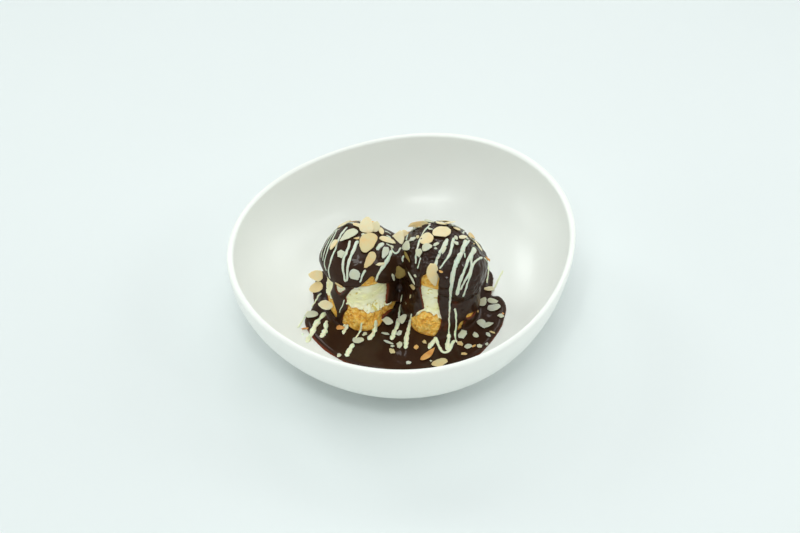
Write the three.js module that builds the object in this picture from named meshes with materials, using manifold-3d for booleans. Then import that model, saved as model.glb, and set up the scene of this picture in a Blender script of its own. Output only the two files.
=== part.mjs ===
// An ice cream profiterole dessert: two filled choux buns under chocolate sauce, with flaked almonds and a
// white chocolate drizzle, standing in a pool of the sauce in an oval porcelain bowl.
// Millimetres, +Z up. The origin is on the table, under the middle of the bowl's rim.

import * as THREE from "three";
import { mergeVertices } from "three/addons/utils/BufferGeometryUtils.js";
import Module from "manifold-3d";

const wasm = await Module();
wasm.setup();

// Bowl
const RIM_RADIUS = 114.5; // mean outer radius of the lip
const RIM_HEIGHT = 66.5;
const RIM_CENTRE = { x: 2.1, y: 0.8 }; // puts the middle of the oval's box on the origin
const OVAL = { size: 5.9, turn: 41 }; // how far the rim is longer one way, and which way
const EGG = { size: 3.2, turn: 49.4 }; // how far one end is rounder
const LIP = 4.2; // wall thickness at the lip
const FLOOR_HEIGHT = 7;
const FLOOR_RADIUS = 48; // flat part of the inside
const FLOOR_CURVE = 2.2; // superellipse power of the inner wall
const FOOT_CENTRE = { x: 0.5, y: -1.5 };
const FOOT_RADIUS = 50;
const FOOT_HEIGHT = 2.5;
const FOOT_WIDTH = 4;
const RECESS = 1.6; // hollow under the bowl, inside the foot ring
const BOWL_SIDES = 48;

// Food
const GAP = 0.3; // between two pieces that touch
const POOL_GAP = 0.4; // between the pool and the curved wall of the bowl
const COAT_GAP = 0.55; // between a curved bun and the coat that wraps it
const BUN_SIDES = 36;
const DOME_STEPS = 5;
const SIDE_LEVELS = [39, 31, 24, 17, 10.4]; // heights that bun and coat share, so that they nest
const BASE_BOTTOM = FLOOR_HEIGHT + 0.6;
const BASE_TOP = 24;
const CAP_BOTTOM = 44;
const DOME_POWER = 2.1;
// In each bun, seam is the top edge of its base: azimuth, height above BASE_TOP.
// Side of a bun from its foot up to the widest part of its cap: share of that height, share of cap's radius.
const SIDE = [
  [0, 0.86],
  [0.1, 0.93],
  [0.26, 0.96],
  [0.45, 0.94],
  [0.63, 0.92],
  [0.79, 0.95],
  [1, 1],
];
const LEFT = {
  name: "left",
  base: { x: -28, y: -4.5 },
  cap: { x: -29.5, y: 4 },
  radius: 24.6,
  waist: 47, // height of the cap's widest part
  dome: 19.2, // from there to the top of the choux
  coat: 1.8, // sauce thickness
  bulge: { azimuth: -82, width: 34, size: 2.2 }, // bare front of the base
  // Shoulders where the cap falls away, or swells where the size is negative
  slumps: [{ azimuth: 45, width: 62, size: -1.6 }, { azimuth: 150, width: 34, size: 2.8 }],
  join: { azimuth: 6, width: 34, size: 1.6 }, // sauce run together towards the other bun
  seam: [[-160, 1], [-138, 3], [-114, 5.4], [-96, 4.6], [-77, 1.6], [-60, -0.6], [-40, -1.6], [0, 0]],
  phase: 0.4,
  // Lower edge of the sauce: azimuth, height. It runs to the pool in streams, and is short over the front.
  edge: [
    [-180, 20], [-170, 38], [-160, 42], [-150, 38], [-140, 10.4], [-120, 10.4], [-110, 45.5], [-90, 46],
    [-80, 51], [-70, 53], [-60, 50], [-50, 47], [-40, 28], [-30, 16], [-10, 10.4], [20, 10.4], [40, 24],
    [60, 30], [80, 14], [100, 10.4], [120, 26], [140, 31], [150, 15], [160, 12],
  ],
};
const RIGHT = {
  name: "right",
  base: { x: 25, y: -8 },
  cap: { x: 29, y: 4 },
  radius: 27.3,
  waist: 46.5,
  dome: 20.5,
  coat: 2,
  bulge: { azimuth: -116, width: 30, size: 2.2 },
  slumps: [{ azimuth: 42, width: 85, size: 8.5 }, { azimuth: 20, width: 40, size: 1 }],
  join: { azimuth: 180, width: 34, size: 0 },
  seam: [[-160, -2], [-138, -4], [-124, 1], [-110, 4], [-99, 2.4], [-88, -2], [-60, -1], [0, 0]],
  phase: 2.1,
  edge: [
    [-180, 12], [-150, 12], [-140, 24], [-130, 26], [-120, 55], [-110, 57], [-100, 52], [-90, 23],
    [-80, 10.4], [-70, 10.4], [-60, 18], [-50, 12], [-30, 15], [-10, 12], [10, 20], [30, 13], [50, 10.4],
    [70, 10.4], [90, 26], [110, 34], [130, 20], [150, 10.4],
  ],
};

// Pool of sauce, a film on the bowl's floor: outline as angle, radius round its own centre.
const POOL_CENTRE = { x: 2, y: -18 };
const POOL_DEPTH = 2.5;
const POOL_SIDES = 48;
const POOL_OUTLINE = [
  [0, 67], [12, 70], [19, 69], [24, 64], [31, 74], [39, 74], [55, 66], [92, 57], [121, 63], [140, 76],
  [150, 73], [160, 68], [168, 65], [179, 70], [196, 65], [209, 61], [222, 57], [266, 50], [314, 55],
  [327, 59], [340, 61],
];

// Flaked almonds on a bun: azimuth, height, length, width, turn of the long way from level, tilt off sauce.
const FLAKE_THICKNESS = 0.9;
const FLAKES = {
  left: [
    [-40, 66.6, 17, 10, -167, 0], [66, 65, 14, 9, 116, 50], [44, 63, 10, 7, 158, 20],
    [171, 67.3, 16, 8, -34, 0], [130, 63, 13, 7, 167, 0], [-167, 63.5, 10, 5, -54, 12],
    [-95, 55.7, 9, 7, 98, 0], [-69, 62, 13, 7, -136, 10], [-30, 61.7, 12, 6, -158, 0],
    [5, 61.7, 15, 5, -75, 12], [179, 34, 12, 8, 45, 70], [184, 22, 12, 8, 45, 70], [-167, 16, 12, 8, 30, 35],
  ],
  right: [
    [150, 62, 17, 6, 154, 10], [162, 68.9, 15, 10, 100, 0], [-174, 66.7, 12, 9, 40, 0],
    [-144, 65.6, 9, 7, 50, 0], [-148, 61, 9, 8, -6, 0], [180, 56.3, 13, 7, 24, 0], [73, 67.5, 11, 7, 138, 0],
    [37, 67.9, 9, 6, -164, 0], [-8, 67.7, 9, 5, -63, 0], [-14, 60, 12, 6, -120, 0],
    [-117, 54.5, 16, 9, -84, 12],
  ],
};

// White chocolate stripes on a bun: radius of the stripe, then azimuth and height along it.
const STRIPES = {
  left: [
    [0.8, [135, 64], [-178, 63], [-158, 57], [-148, 49]],
    [0.9, [126, 66], [-176, 65], [-150, 62], [-140, 54], [-133, 47.5]],
    [1.2, [-133, 67], [-123, 65], [-117, 60], [-112, 52], [-109, 48]],
    [1.3, [-90, 68], [-103, 66], [-109, 61], [-108, 54], [-108, 48]],
    [0.9, [-77, 59], [-83, 55], [-88, 49.5]],
    [1.7, [-12, 62], [-27, 59], [-46, 57], [-58, 54], [-64, 51]],
  ],
  right: [
    [1.1, [122, 63], [154, 65], [179, 64], [-164, 61], [-146, 56]],
    [1.3, [-104, 69], [-109, 66], [-112, 61]],
    [1.1, [-11, 69], [-82, 68], [-94, 65], [-103, 60]],
    [1.6, [-7, 67], [-45, 66], [-72, 63], [-82, 56], [-85, 46], [-82, 35], [-79, 24]],
    [1.8, [-21, 64], [-37, 63], [-58, 61], [-71, 55], [-76, 47], [-75, 40]],
    [1.2, [-49, 58], [-60, 54], [-68, 47], [-69, 40]],
    [1.1, [-16, 55], [-28, 59], [-42, 58], [-52, 55], [-58, 49]],
  ],
};

// Flaked almonds on the pool: x, y, length, width, turn.
const POOL_FLAKES = [
  [-61, -16, 13, 8, 57], [-43, -27.5, 6, 4, 0], [-30, -41, 9, 7, 5], [-9, -47, 7, 4, -58],
  [-2, -39, 7, 4, -57], [17, -50.7, 15, 5, 45], [24.7, -57, 13, 7, 15], [41, -36, 11, 8, 71],
  [44, -47, 7, 5, 10], [51, -38, 7, 4, -72], [57, -24, 13, 7, -31], [62, -9, 10, 7, -5], [58, 0, 9, 6, 71],
];

// White chocolate drips on the pool: radius, then x and y along each. The first runs out onto the bare bowl.
const POOL_STRIPES = [
  [1.1, [-65, -20], [-71, -27], [-75.5, -38], [-75, -43], [-70, -39], [-66, -33]],
  [1.6, [-56, -22], [-58.5, -30], [-62, -38], [-64, -42]],
  [1.5, [-52.5, -25], [-53, -31], [-54.5, -37]],
  [1.5, [-31, -35], [-33, -41], [-37.8, -53]],
  [1.4, [-18.8, -33.5], [-21.4, -38], [-24.4, -43]],
  [1.4, [-4.5, -30], [-6.4, -36], [-8, -41]],
  [1.3, [3.8, -36], [3, -42], [2, -48]],
  [1.4, [17, -46.5], [21.6, -39], [24, -44], [28, -49], [32, -48], [34.4, -40]],
];

// Colours and finishes
const FINISH = {
  porcelain: { color: 0xe9ece6, roughness: 0.22, metalness: 0 },
  choux: { color: 0xcf9a45, roughness: 0.75, metalness: 0 },
  ice_cream: { color: 0xece3b4, roughness: 0.6, metalness: 0 },
  chocolate: { color: 0x2c1711, roughness: 0.15, metalness: 0 },
};

const radians = THREE.MathUtils.degToRad;
const { clamp, lerp, smoothstep } = THREE.MathUtils;

// Value at x of the broken line through [x, y] pairs.
function along(pairs, x) {
  const i = pairs.findIndex(([at]) => at > x);
  if (i === 0) return pairs[0][1];
  if (i < 0) return pairs[pairs.length - 1][1];
  const [[x0, y0], [x1, y1]] = [pairs[i - 1], pairs[i]];
  return lerp(y0, y1, (x - x0) / (x1 - x0));
}

// The same round a full turn, in degrees, eased so that it has no corners.
function around(pairs, degrees) {
  const first = pairs[0][0];
  const turn = first + ((((degrees - first) % 360) + 360) % 360);
  const closed = [...pairs, [first + 360, pairs[0][1]]];
  const i = closed.findIndex(([at]) => at > turn);
  const [[a0, v0], [a1, v1]] = [closed[i - 1], closed[i]];
  return lerp(v0, v1, smoothstep(turn, a0, a1));
}

// A closed three.js geometry as a solid.
function solid(geometry) {
  geometry.deleteAttribute("normal");
  geometry.deleteAttribute("uv");
  const merged = mergeVertices(geometry, 1e-3);
  const corners = merged.index.array;
  const faces = [];
  for (let i = 0; i < corners.length; i += 3) {
    const [a, b, c] = corners.slice(i, i + 3);
    if (a !== b && b !== c && c !== a) faces.push(a, b, c);
  }
  const vertProperties = merged.getAttribute("position").array;
  return new wasm.Manifold(new wasm.Mesh({ numProp: 3, vertProperties, triVerts: new Uint32Array(faces) }));
}

// The largest piece of a solid, without the crumbs that cutting leaves.
const largest = (made) => made.decompose().reduce((a, b) => (b.volume() > a.volume() ? b : a));

// A solid as a named mesh with its finish.
function piece(name, made, finish) {
  const { vertProperties, triVerts, numProp } = largest(made).getMesh();
  const points = new Float32Array((vertProperties.length / numProp) * 3);
  for (let i = 0; i < points.length / 3; i++) {
    points.set(vertProperties.subarray(i * numProp, i * numProp + 3), i * 3);
  }
  const geometry = new THREE.BufferGeometry();
  geometry.setAttribute("position", new THREE.BufferAttribute(points, 3));
  geometry.setIndex(new THREE.BufferAttribute(triVerts, 1));
  geometry.computeVertexNormals();
  const mesh = new THREE.Mesh(geometry, new THREE.MeshStandardMaterial(FINISH[finish]));
  mesh.name = name;
  return mesh;
}

// A profile of [radius, height] turned round the Z axis. place(radius, height, angle) then moves each vertex.
function turned(profile, sides, place) {
  const geometry = new THREE.LatheGeometry(profile.map(([r, z]) => new THREE.Vector2(r, z)), sides);
  const position = geometry.getAttribute("position");
  for (let i = 0; i < position.count; i++) {
    const angle = 2 * Math.PI * (Math.floor(i / profile.length) % sides) / sides;
    const [radius, height] = profile[i % profile.length];
    position.setXYZ(i, ...place(radius, height, angle));
  }
  return solid(geometry);
}

// Bowl: outer radius of the rim in plan.
function rimRadius(angle) {
  const oval = OVAL.size * Math.cos(2 * (angle - radians(OVAL.turn)));
  const egg = EGG.size * Math.cos(3 * (angle - radians(EGG.turn)));
  return RIM_RADIUS + oval + egg;
}

// The bowl is round at the foot and takes the oval of its rim as it opens out.
function bowlPlace(radius, height, angle) {
  const share = (radius / RIM_RADIUS) ** 2;
  const r = radius * (1 + (rimRadius(angle) / RIM_RADIUS - 1) * share);
  const x = lerp(FOOT_CENTRE.x, RIM_CENTRE.x, share) + r * Math.cos(angle);
  const y = lerp(FOOT_CENTRE.y, RIM_CENTRE.y, share) + r * Math.sin(angle);
  return [x, y, height];
}

const innerRim = RIM_RADIUS - LIP;
const lipHeight = RIM_HEIGHT - LIP / 2;

// Height of the bowl's inner surface at a point of the floor.
function floorHeight(x, y) {
  let radius = Math.hypot(x, y);
  for (let pass = 0; pass < 4; pass++) {
    const share = (radius / RIM_RADIUS) ** 2;
    const dx = x - lerp(FOOT_CENTRE.x, RIM_CENTRE.x, share);
    const dy = y - lerp(FOOT_CENTRE.y, RIM_CENTRE.y, share);
    radius = Math.hypot(dx, dy) / (1 + (rimRadius(Math.atan2(dy, dx)) / RIM_RADIUS - 1) * share);
  }
  const share = clamp((radius - FLOOR_RADIUS) / (innerRim - FLOOR_RADIUS), 0, 1);
  return FLOOR_HEIGHT + (lipHeight - FLOOR_HEIGHT) * (1 - (1 - share ** FLOOR_CURVE) ** (1 / FLOOR_CURVE));
}

// Quarter of a superellipse from the foot to the lip, as [radius, height].
function wall(radius0, height0, radius1, power, steps) {
  const points = [];
  for (let i = 0; i <= steps; i++) {
    const turn = (Math.PI / 2) * (i / steps);
    const out = Math.sin(turn) ** (2 / power);
    const up = 1 - Math.cos(turn) ** (2 / power);
    points.push([lerp(radius0, radius1, out), lerp(height0, lipHeight, up)]);
  }
  return points;
}

function bowl() {
  const outside = wall(FOOT_RADIUS, FOOT_HEIGHT, RIM_RADIUS, 2, 6);
  const inside = wall(FLOOR_RADIUS, FLOOR_HEIGHT, innerRim, FLOOR_CURVE, 8).reverse();
  const lip = [45, 90, 135].map((turn) => [
    RIM_RADIUS - LIP / 2 + (LIP / 2) * Math.cos(radians(turn)),
    lipHeight + (LIP / 2) * Math.sin(radians(turn)),
  ]);
  const profile = [
    [0, RECESS],
    [FOOT_RADIUS - FOOT_WIDTH - 1, RECESS],
    [FOOT_RADIUS - FOOT_WIDTH, 0],
    [FOOT_RADIUS - 0.5, 0],
    ...outside,
    ...lip,
    ...inside,
    [0, FLOOR_HEIGHT],
  ];
  return piece("bowl", turned(profile, BOWL_SIDES, bowlPlace), "porcelain");
}

// Middle of a bun at a height. It leans from its base to its cap.
function bunCentre(bun, z) {
  const share = clamp((z - BASE_BOTTOM) / (bun.waist - BASE_BOTTOM), 0, 1);
  return { x: lerp(bun.base.x, bun.cap.x, share), y: lerp(bun.base.y, bun.cap.y, share) };
}

// Share, 0 to 1, of a local form such as a bulge that is felt at an angle.
function felt(form, angle) {
  return smoothstep(Math.cos(angle - radians(form.azimuth)), Math.cos(radians(form.width)), 1);
}

// Radius of a bun's food, without sauce. The wobble keeps it from being a true circle.
function bunRadius(bun, z, angle) {
  const wobble = 1 + 0.012 * Math.sin(3 * angle + bun.phase) + 0.01 * Math.sin(5 * angle + z / 9 + bun.phase);
  const bulge = bun.bulge.size * felt(bun.bulge, angle) * (1 - smoothstep(z, BASE_TOP - 2, BASE_TOP + 4));
  let slump = 0;
  for (const fall of bun.slumps) slump += fall.size * felt(fall, angle);
  slump *= smoothstep(z, CAP_BOTTOM - 4, CAP_BOTTOM + 14);
  const share = along(SIDE, clamp((z - BASE_BOTTOM) / (bun.waist - BASE_BOTTOM), 0, 1));
  return bun.radius * share * wobble + bulge - slump;
}

// A point of a bun at a height, offset outwards from the food.
function bunPoint(bun, z, angle, offset) {
  const centre = bunCentre(bun, z);
  const up = clamp((z - bun.waist) / (bun.dome + offset), 0, 1);
  const radius = (bunRadius(bun, z, angle) + offset) * Math.sqrt(1 - up ** DOME_POWER);
  return [centre.x + radius * Math.cos(angle), centre.y + radius * Math.sin(angle), z];
}

// Relief of torn crumb and scooped ice cream, inwards from 0 to its size. There is none down in the pool.
function crag(angle, z, size) {
  const wave = 1 + Math.sin(5 * angle + 0.9 * z) * Math.cos(9 * angle - 0.7 * z);
  return (size / 2) * wave * smoothstep(z, SIDE_LEVELS[4] - 1, SIDE_LEVELS[3] - 1);
}

// Choux base and ice cream: stacked slices of the bun, that meet at the wavy seam.
function slice(bun, bottom, top, inset, rough) {
  const inside = SIDE_LEVELS.filter((z) => z > bottom + 1 && z < top - 1).reverse();
  const profile = [[0, bottom], ...[bottom, ...inside, top].map((z) => [1, z]), [0, top]];
  return turned(profile, BUN_SIDES, (radius, z, angle) => {
    const centre = bunCentre(bun, z);
    if (radius === 0) return [centre.x, centre.y, z];
    const onSeam = Math.abs(z - BASE_TOP) < 2 * GAP;
    const height = onSeam ? z + around(bun.seam, THREE.MathUtils.radToDeg(angle)) : z;
    return bunPoint(bun, height, angle, -inset - (onSeam ? 0 : crag(angle, z, rough)));
  });
}

// Height above the waist of one of the dome's steps, counted from its top.
const domeRise = (dome, step) => dome * Math.cos((Math.PI / 2) * (step / DOME_STEPS));

function cap(bun) {
  const profile = [[0, CAP_BOTTOM], [0.8, CAP_BOTTOM], [1, CAP_BOTTOM + 1.5]];
  for (let i = DOME_STEPS; i > 0; i--) profile.push([1, bun.waist + domeRise(bun.dome, i)]);
  profile.push([0, bun.waist + bun.dome]);
  return turned(profile, BUN_SIDES, (radius, z, angle) => {
    const [x, y] = bunPoint(bun, z, angle, -crag(angle, z, 0.6));
    const centre = bunCentre(bun, z);
    return [lerp(centre.x, x, radius), lerp(centre.y, y, radius), z];
  });
}

// Chocolate over the cap and down the side to the wavy lower edge, as a shell. The profile runs from the top
// down the inside and back up the outside. Its first number counts steps down the dome and the side, and its
// second is 0 inside and 1 outside.
function coatShell(bun) {
  const last = DOME_STEPS + SIDE_LEVELS.length;
  const steps = [...Array(last + 1).keys()];
  const profile = [...steps.map((step) => [step, 0]), ...steps.map((step) => [step, 1]).reverse()];
  return turned(profile, BUN_SIDES, (step, layer, angle) => {
    const edge = around(bun.edge, THREE.MathUtils.radToDeg(angle));
    const thin = step === last ? 0.45 : 1; // rounded lower lip
    const capOnly = smoothstep(step, 1, 4) * (1 - smoothstep(step, 6, 9));
    const thick = bun.coat - COAT_GAP + bun.join.size * felt(bun.join, angle) * capOnly;
    const offset = COAT_GAP + layer * thick * thin;
    const onDome = bun.waist + domeRise(bun.dome + offset, step);
    const level = step > DOME_STEPS ? SIDE_LEVELS[step - DOME_STEPS - 1] : onDome;
    return bunPoint(bun, Math.max(level, edge + 0.15 * (last - step)), angle, offset);
  });
}

// A tube along points, for a stripe of white chocolate.
function stripe(points, radius) {
  const path = new THREE.CatmullRomCurve3(points.map((p) => new THREE.Vector3(...p)));
  const section = new THREE.Shape();
  const corners = 4;
  for (let i = 0; i < corners; i++) {
    const turn = (2 * Math.PI * i) / corners;
    section[i ? "lineTo" : "moveTo"](radius * Math.cos(turn), radius * Math.sin(turn));
  }
  const steps = Math.max(3, Math.round(path.getLength() / 6));
  return solid(new THREE.ExtrudeGeometry(section, { steps, extrudePath: path }));
}

// One slice of almond: round at one end and pointed at the other, lying flat about its own middle.
function flake(length, width) {
  const outline = new THREE.Shape();
  const side = 0.64 * width;
  outline.moveTo(length / 2, 0);
  outline.bezierCurveTo(0.2 * length, side, -0.5 * length, side, -length / 2, 0);
  outline.bezierCurveTo(-0.5 * length, -side, 0.2 * length, -side, length / 2, 0);
  const form = { depth: FLAKE_THICKNESS, bevelEnabled: false, curveSegments: 4 };
  return new THREE.ExtrudeGeometry(outline, form).translate(0, 0, -FLAKE_THICKNESS / 2);
}

// Puts a flake on a surface at a point, with the surface's level direction and its outward normal. A tilted
// flake stands with its round end in the sauce.
function lay(length, width, at, level, normal, turn, tilt) {
  const upwards = new THREE.Vector3().crossVectors(normal, level);
  const frame = new THREE.Matrix4().makeBasis(level, upwards, normal).setPosition(...at);
  const spin = new THREE.Matrix4().makeRotationZ(radians(turn));
  const lean = new THREE.Matrix4().makeRotationY(-radians(tilt));
  const root = new THREE.Matrix4().makeTranslation(0.45 * length * Math.sin(radians(tilt)), 0, 0);
  return solid(flake(length, width).applyMatrix4(frame.multiply(spin).multiply(lean).multiply(root)));
}

function bunFlake(bun, [azimuth, height, length, width, turn, tilt]) {
  const angle = radians(azimuth);
  const z = Math.min(height, bun.waist + bun.dome + bun.coat - 0.4);
  const point = (dz, da) => new THREE.Vector3(...bunPoint(bun, z + dz, angle + da, bun.coat));
  const at = point(0, 0);
  const level = point(0, 0.05).sub(at).normalize();
  const down = point(-0.5, 0).sub(at);
  const normal = new THREE.Vector3().crossVectors(down, level).normalize();
  const sunk = at.clone().addScaledVector(normal, -0.15);
  return lay(length, width, sunk.toArray(), level, normal, turn, tilt);
}

// A whole bun without its sauce, grown by an offset: the space that the coat and the pool leave for it.
function core(bun, offset) {
  const profile = [[0, 0], ...[0, BASE_BOTTOM, ...[...SIDE_LEVELS].reverse()].map((z) => [1, z])];
  for (let i = DOME_STEPS; i > 0; i--) profile.push([1, bun.waist + domeRise(bun.dome + offset, i)]);
  profile.push([0, bun.waist + bun.dome + offset]);
  return turned(profile, BUN_SIDES, (radius, z, angle) => {
    if (radius > 0 || z > 0) return bunPoint(bun, z, angle, offset);
    return [bun.base.x, bun.base.y, z];
  });
}

function coat(bun) {
  const parts = [coatShell(bun)];
  for (const [radius, ...path] of STRIPES[bun.name]) {
    const out = bun.coat + radius / 4;
    parts.push(stripe(path.map(([azimuth, z]) => bunPoint(bun, z, radians(azimuth), out)), radius));
  }
  for (const placing of FLAKES[bun.name]) parts.push(bunFlake(bun, placing));
  return parts.reduce((a, b) => a.add(b)).subtract(core(bun, GAP));
}

// Pool: a film that follows the floor, with a rounded edge, cut round the two bases.
function poolFilm() {
  const edge = [[0.985, 0], [1, 0.2], [0.985, 0.5], [0.93, 0.85], [0.8, 1]];
  const profile = [[0, 0], [0.5, 0], ...edge, [0.5, 1], [0, 1]];
  return turned(profile, POOL_SIDES, (share, layer, angle) => {
    const reach = share * around(POOL_OUTLINE, THREE.MathUtils.radToDeg(angle));
    const x = POOL_CENTRE.x + reach * Math.cos(angle);
    const y = POOL_CENTRE.y + reach * Math.sin(angle);
    return [x, y, floorHeight(x, y) + POOL_GAP + POOL_DEPTH * layer];
  });
}

// Height of the sauce at a point, and of the bare bowl with its gap outside the pool.
function poolTop(x, y) {
  const [dx, dy] = [x - POOL_CENTRE.x, y - POOL_CENTRE.y];
  const reach = around(POOL_OUTLINE, THREE.MathUtils.radToDeg(Math.atan2(dy, dx)));
  const past = Math.hypot(dx, dy) / reach;
  return floorHeight(x, y) + POOL_GAP + POOL_DEPTH * (1 - smoothstep(past, 0.9, 1));
}

function pool() {
  const parts = [poolFilm()];
  for (const [radius, ...path] of POOL_STRIPES) {
    const height = (x, y) => Math.max(poolTop(x, y), floorHeight(x, y) + 2 * GAP + radius);
    parts.push(stripe(path.map(([x, y]) => [x, y, height(x, y)]), radius));
  }
  for (const [x, y, length, width, turn] of POOL_FLAKES) {
    const level = new THREE.Vector3(1, 0, poolTop(x + 1, y) - poolTop(x, y)).normalize();
    const deep = new THREE.Vector3(0, 1, poolTop(x, y + 1) - poolTop(x, y));
    const normal = new THREE.Vector3().crossVectors(level, deep).normalize();
    parts.push(lay(length, width, [x, y, poolTop(x, y) + 0.3], level, normal, turn, 0));
  }
  const whole = parts.reduce((a, b) => a.add(b));
  return [LEFT, RIGHT].reduce((left, bun) => left.subtract(core(bun, GAP)), whole);
}

const dessert = new THREE.Group();
dessert.add(bowl(), piece("sauce_pool", pool(), "chocolate"));
for (const bun of [LEFT, RIGHT]) {
  dessert.add(
    piece("choux_base_" + bun.name, slice(bun, BASE_BOTTOM, BASE_TOP - GAP, 0, 1.4), "choux"),
    piece("ice_cream_" + bun.name, slice(bun, BASE_TOP, CAP_BOTTOM - GAP, 0.4, 0.8), "ice_cream"),
    piece("choux_cap_" + bun.name, cap(bun), "choux"),
    piece("sauce_coat_" + bun.name, coat(bun), "chocolate"),
  );
}

export default dessert;
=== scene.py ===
import math
import bpy
import numpy as np
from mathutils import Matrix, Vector


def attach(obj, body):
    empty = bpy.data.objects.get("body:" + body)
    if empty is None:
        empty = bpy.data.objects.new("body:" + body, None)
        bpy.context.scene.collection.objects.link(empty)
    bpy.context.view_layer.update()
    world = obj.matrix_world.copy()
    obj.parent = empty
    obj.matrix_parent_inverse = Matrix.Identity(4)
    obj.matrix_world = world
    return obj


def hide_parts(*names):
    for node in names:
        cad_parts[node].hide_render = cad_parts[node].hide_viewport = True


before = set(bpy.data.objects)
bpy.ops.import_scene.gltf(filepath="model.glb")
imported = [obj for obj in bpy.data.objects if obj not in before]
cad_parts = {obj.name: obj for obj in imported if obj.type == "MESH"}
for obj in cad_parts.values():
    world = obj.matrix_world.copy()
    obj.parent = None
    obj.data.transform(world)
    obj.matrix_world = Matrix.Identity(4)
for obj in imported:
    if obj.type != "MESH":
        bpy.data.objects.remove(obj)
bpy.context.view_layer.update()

# An ice cream profiterole dessert in its bowl. Shapes are worked out in millimetres, in the frame of the CAD
# model, and become metres in add_mesh. Places on the side that the photograph shows are pixels of its
# 800 x 533 frame, and a ray from the camera through the pixel finds the surface that carries them.

MM = 0.001

# Bowl, as in the CAD model
RIM_RADIUS = 114.5
RIM_HEIGHT = 66.5
RIM_CENTRE = (2.1, 0.8)
OVAL = (5.9, 41.0)  # how far the rim swells twice round, and towards which azimuth
EGG = (3.2, 49.4)  # the same, three times round
LIP = 4.2
FLOOR_HEIGHT = 7.0
FLOOR_RADIUS = 48.0
FLOOR_CURVE = 2.2  # power of the curve from the floor to the lip
FOOT_CENTRE = (0.5, -1.5)  # also the floor's
FOOT_RADIUS = 50.0
FOOT_HEIGHT = 2.5
FOOT_WIDTH = 4.0
RECESS = 1.6  # height of the underside within the foot ring
INNER_RIM = RIM_RADIUS - LIP
LIP_HEIGHT = RIM_HEIGHT - LIP / 2

# Buns, as in the CAD model. A bulge, slump or join is an azimuth, a half width in degrees and a size. The seam
# under the ice cream, and the line where thick sauce overhangs it, are heights at azimuths.
BASE_BOTTOM = FLOOR_HEIGHT + 0.6
BASE_TOP = 24.0
CAP_BOTTOM = 44.0
DOME_POWER = 2.1
# Radius of a bun's side as a share of its greatest, at shares of the height from its bottom to its waist
SIDE = ([0, 0.1, 0.26, 0.45, 0.63, 0.79, 1], [0.86, 0.93, 0.96, 0.94, 0.92, 0.95, 1])
LEFT = {
    "name": "left", "base": (-28, -4.5), "cap": (-29.5, 4), "radius": 24.6, "waist": 47.0, "dome": 19.2,
    "coat": 1.8, "side_coat": 0.9, "phase": 0.4, "lumps": 0.1,
    "bulge": (-82, 34, 2.2), "slumps": ((45, 62, -1.6), (150, 34, 2.8)), "join": (6, 40, 1.7),
    "seam": (
        [-200, -160, -138, -114, -96, -77, -60, -40, 0, 160],
        [0.5, 1, 3, 5.4, 4.6, 1.6, -0.6, -1.6, 0, 0.5],
    ),
    "overhang": ([-180, -140, -100, -60, -20, 20, 90, 150, 180], [42, 43, 45, 44, 38, 36, 41, 38, 42]),
}
RIGHT = {
    "name": "right", "base": (25, -8), "cap": (29, 4), "radius": 27.3, "waist": 46.5, "dome": 20.5,
    "coat": 2.0, "side_coat": 1.0, "phase": 2.1, "lumps": 1.0,
    "bulge": (-116, 30, 2.2), "slumps": ((42, 85, 8.5), (20, 40, 1)), "join": (174, 40, 1.5),
    "seam": ([-200, -160, -138, -124, -110, -99, -88, -60, 0, 160], [-1, -2, -4, 1, 4, 2.4, -2, -1, 0, -1]),
    "overhang": (
        [-180, -120, -90, -78, -71, -60, -45, -32, -23, -16, -8, 30, 90, 150, 180],
        [38, 44, 40, 38, 36, 33.5, 32, 33, 37, 42, 44, 43, 38, 42, 38],
    ),
}
BUNS = (LEFT, RIGHT)
CAP_EXTRA = 0.7  # how much thicker the sauce on a cap is in the end than the CAD model's coat

# Bare places in the sauce: outlines in pixels where the photograph shows them, and as azimuth and height behind
BARE_PIXELS = {
    "left": [
        [(360, 285.6), (366, 279.4), (370.4, 274.1), (373.8, 276.3), (375.6, 282.8), (386.8, 282.3),
         (387.2, 290), (385.6, 300), (386.3, 305.4), (391, 301.9), (396, 301.3), (398, 305), (397.4, 308.6),
         (389.1, 310), (381.6, 316.6), (381.5, 324), (376, 331), (362, 333), (350, 331), (343, 324),
         (342.9, 318.8), (344.5, 314), (348, 309.5), (347.5, 303.5), (346, 300), (346.8, 296), (350, 291.8),
         (353.5, 288)],
        [(336, 284), (341, 285), (346, 288.5), (343, 291.5), (339, 293.5), (336.5, 290)],
    ],
    "right": [
        [(421.2, 280), (423, 275.6), (426.1, 274.4), (430, 268), (434.3, 267.6), (438, 270.6), (439.6, 276.3),
         (438.2, 283), (438.2, 290), (437, 299), (438.4, 306), (439.8, 314.4), (440.8, 318), (440.5, 324),
         (438.6, 330), (434, 337), (424, 338), (412, 334), (406, 326), (407, 321.5), (413, 317.5),
         (416.8, 314), (420, 310.6), (424.5, 309), (423.6, 305), (422.1, 298.8), (421.1, 292.5),
         (420.4, 285)],
        [(456.4, 331), (458.5, 324), (461, 321), (465, 319.8), (463.5, 324), (459, 331)],
        [(466, 315.5), (470, 313), (474.3, 311.8), (474, 314), (469.5, 317.4), (466, 317.6)],
    ],
}
BARE_BACK = {
    "left": [
        [(-137, 44), (-150, 46), (-176, 46), (-202, 43), (-206, 34), (-197, 25), (-182, 19), (-166, 15),
         (-152, 12), (-138, 12), (-133, 18), (-139, 23), (-146, 26), (-152, 29), (-148, 33), (-140, 38)],
        [(66, 30), (70, 36), (84, 40), (98, 37), (100, 30), (92, 22), (80, 24)],
        [(132, 22), (136, 34), (146, 36), (148, 24), (140, 16)],
    ],
    "right": [
        [(96, 24), (98, 36), (112, 42), (126, 38), (130, 26), (120, 16), (106, 15)],
        [(2, 16), (4, 22), (14, 23), (16, 15), (9, 11)],
    ],
}

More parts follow.
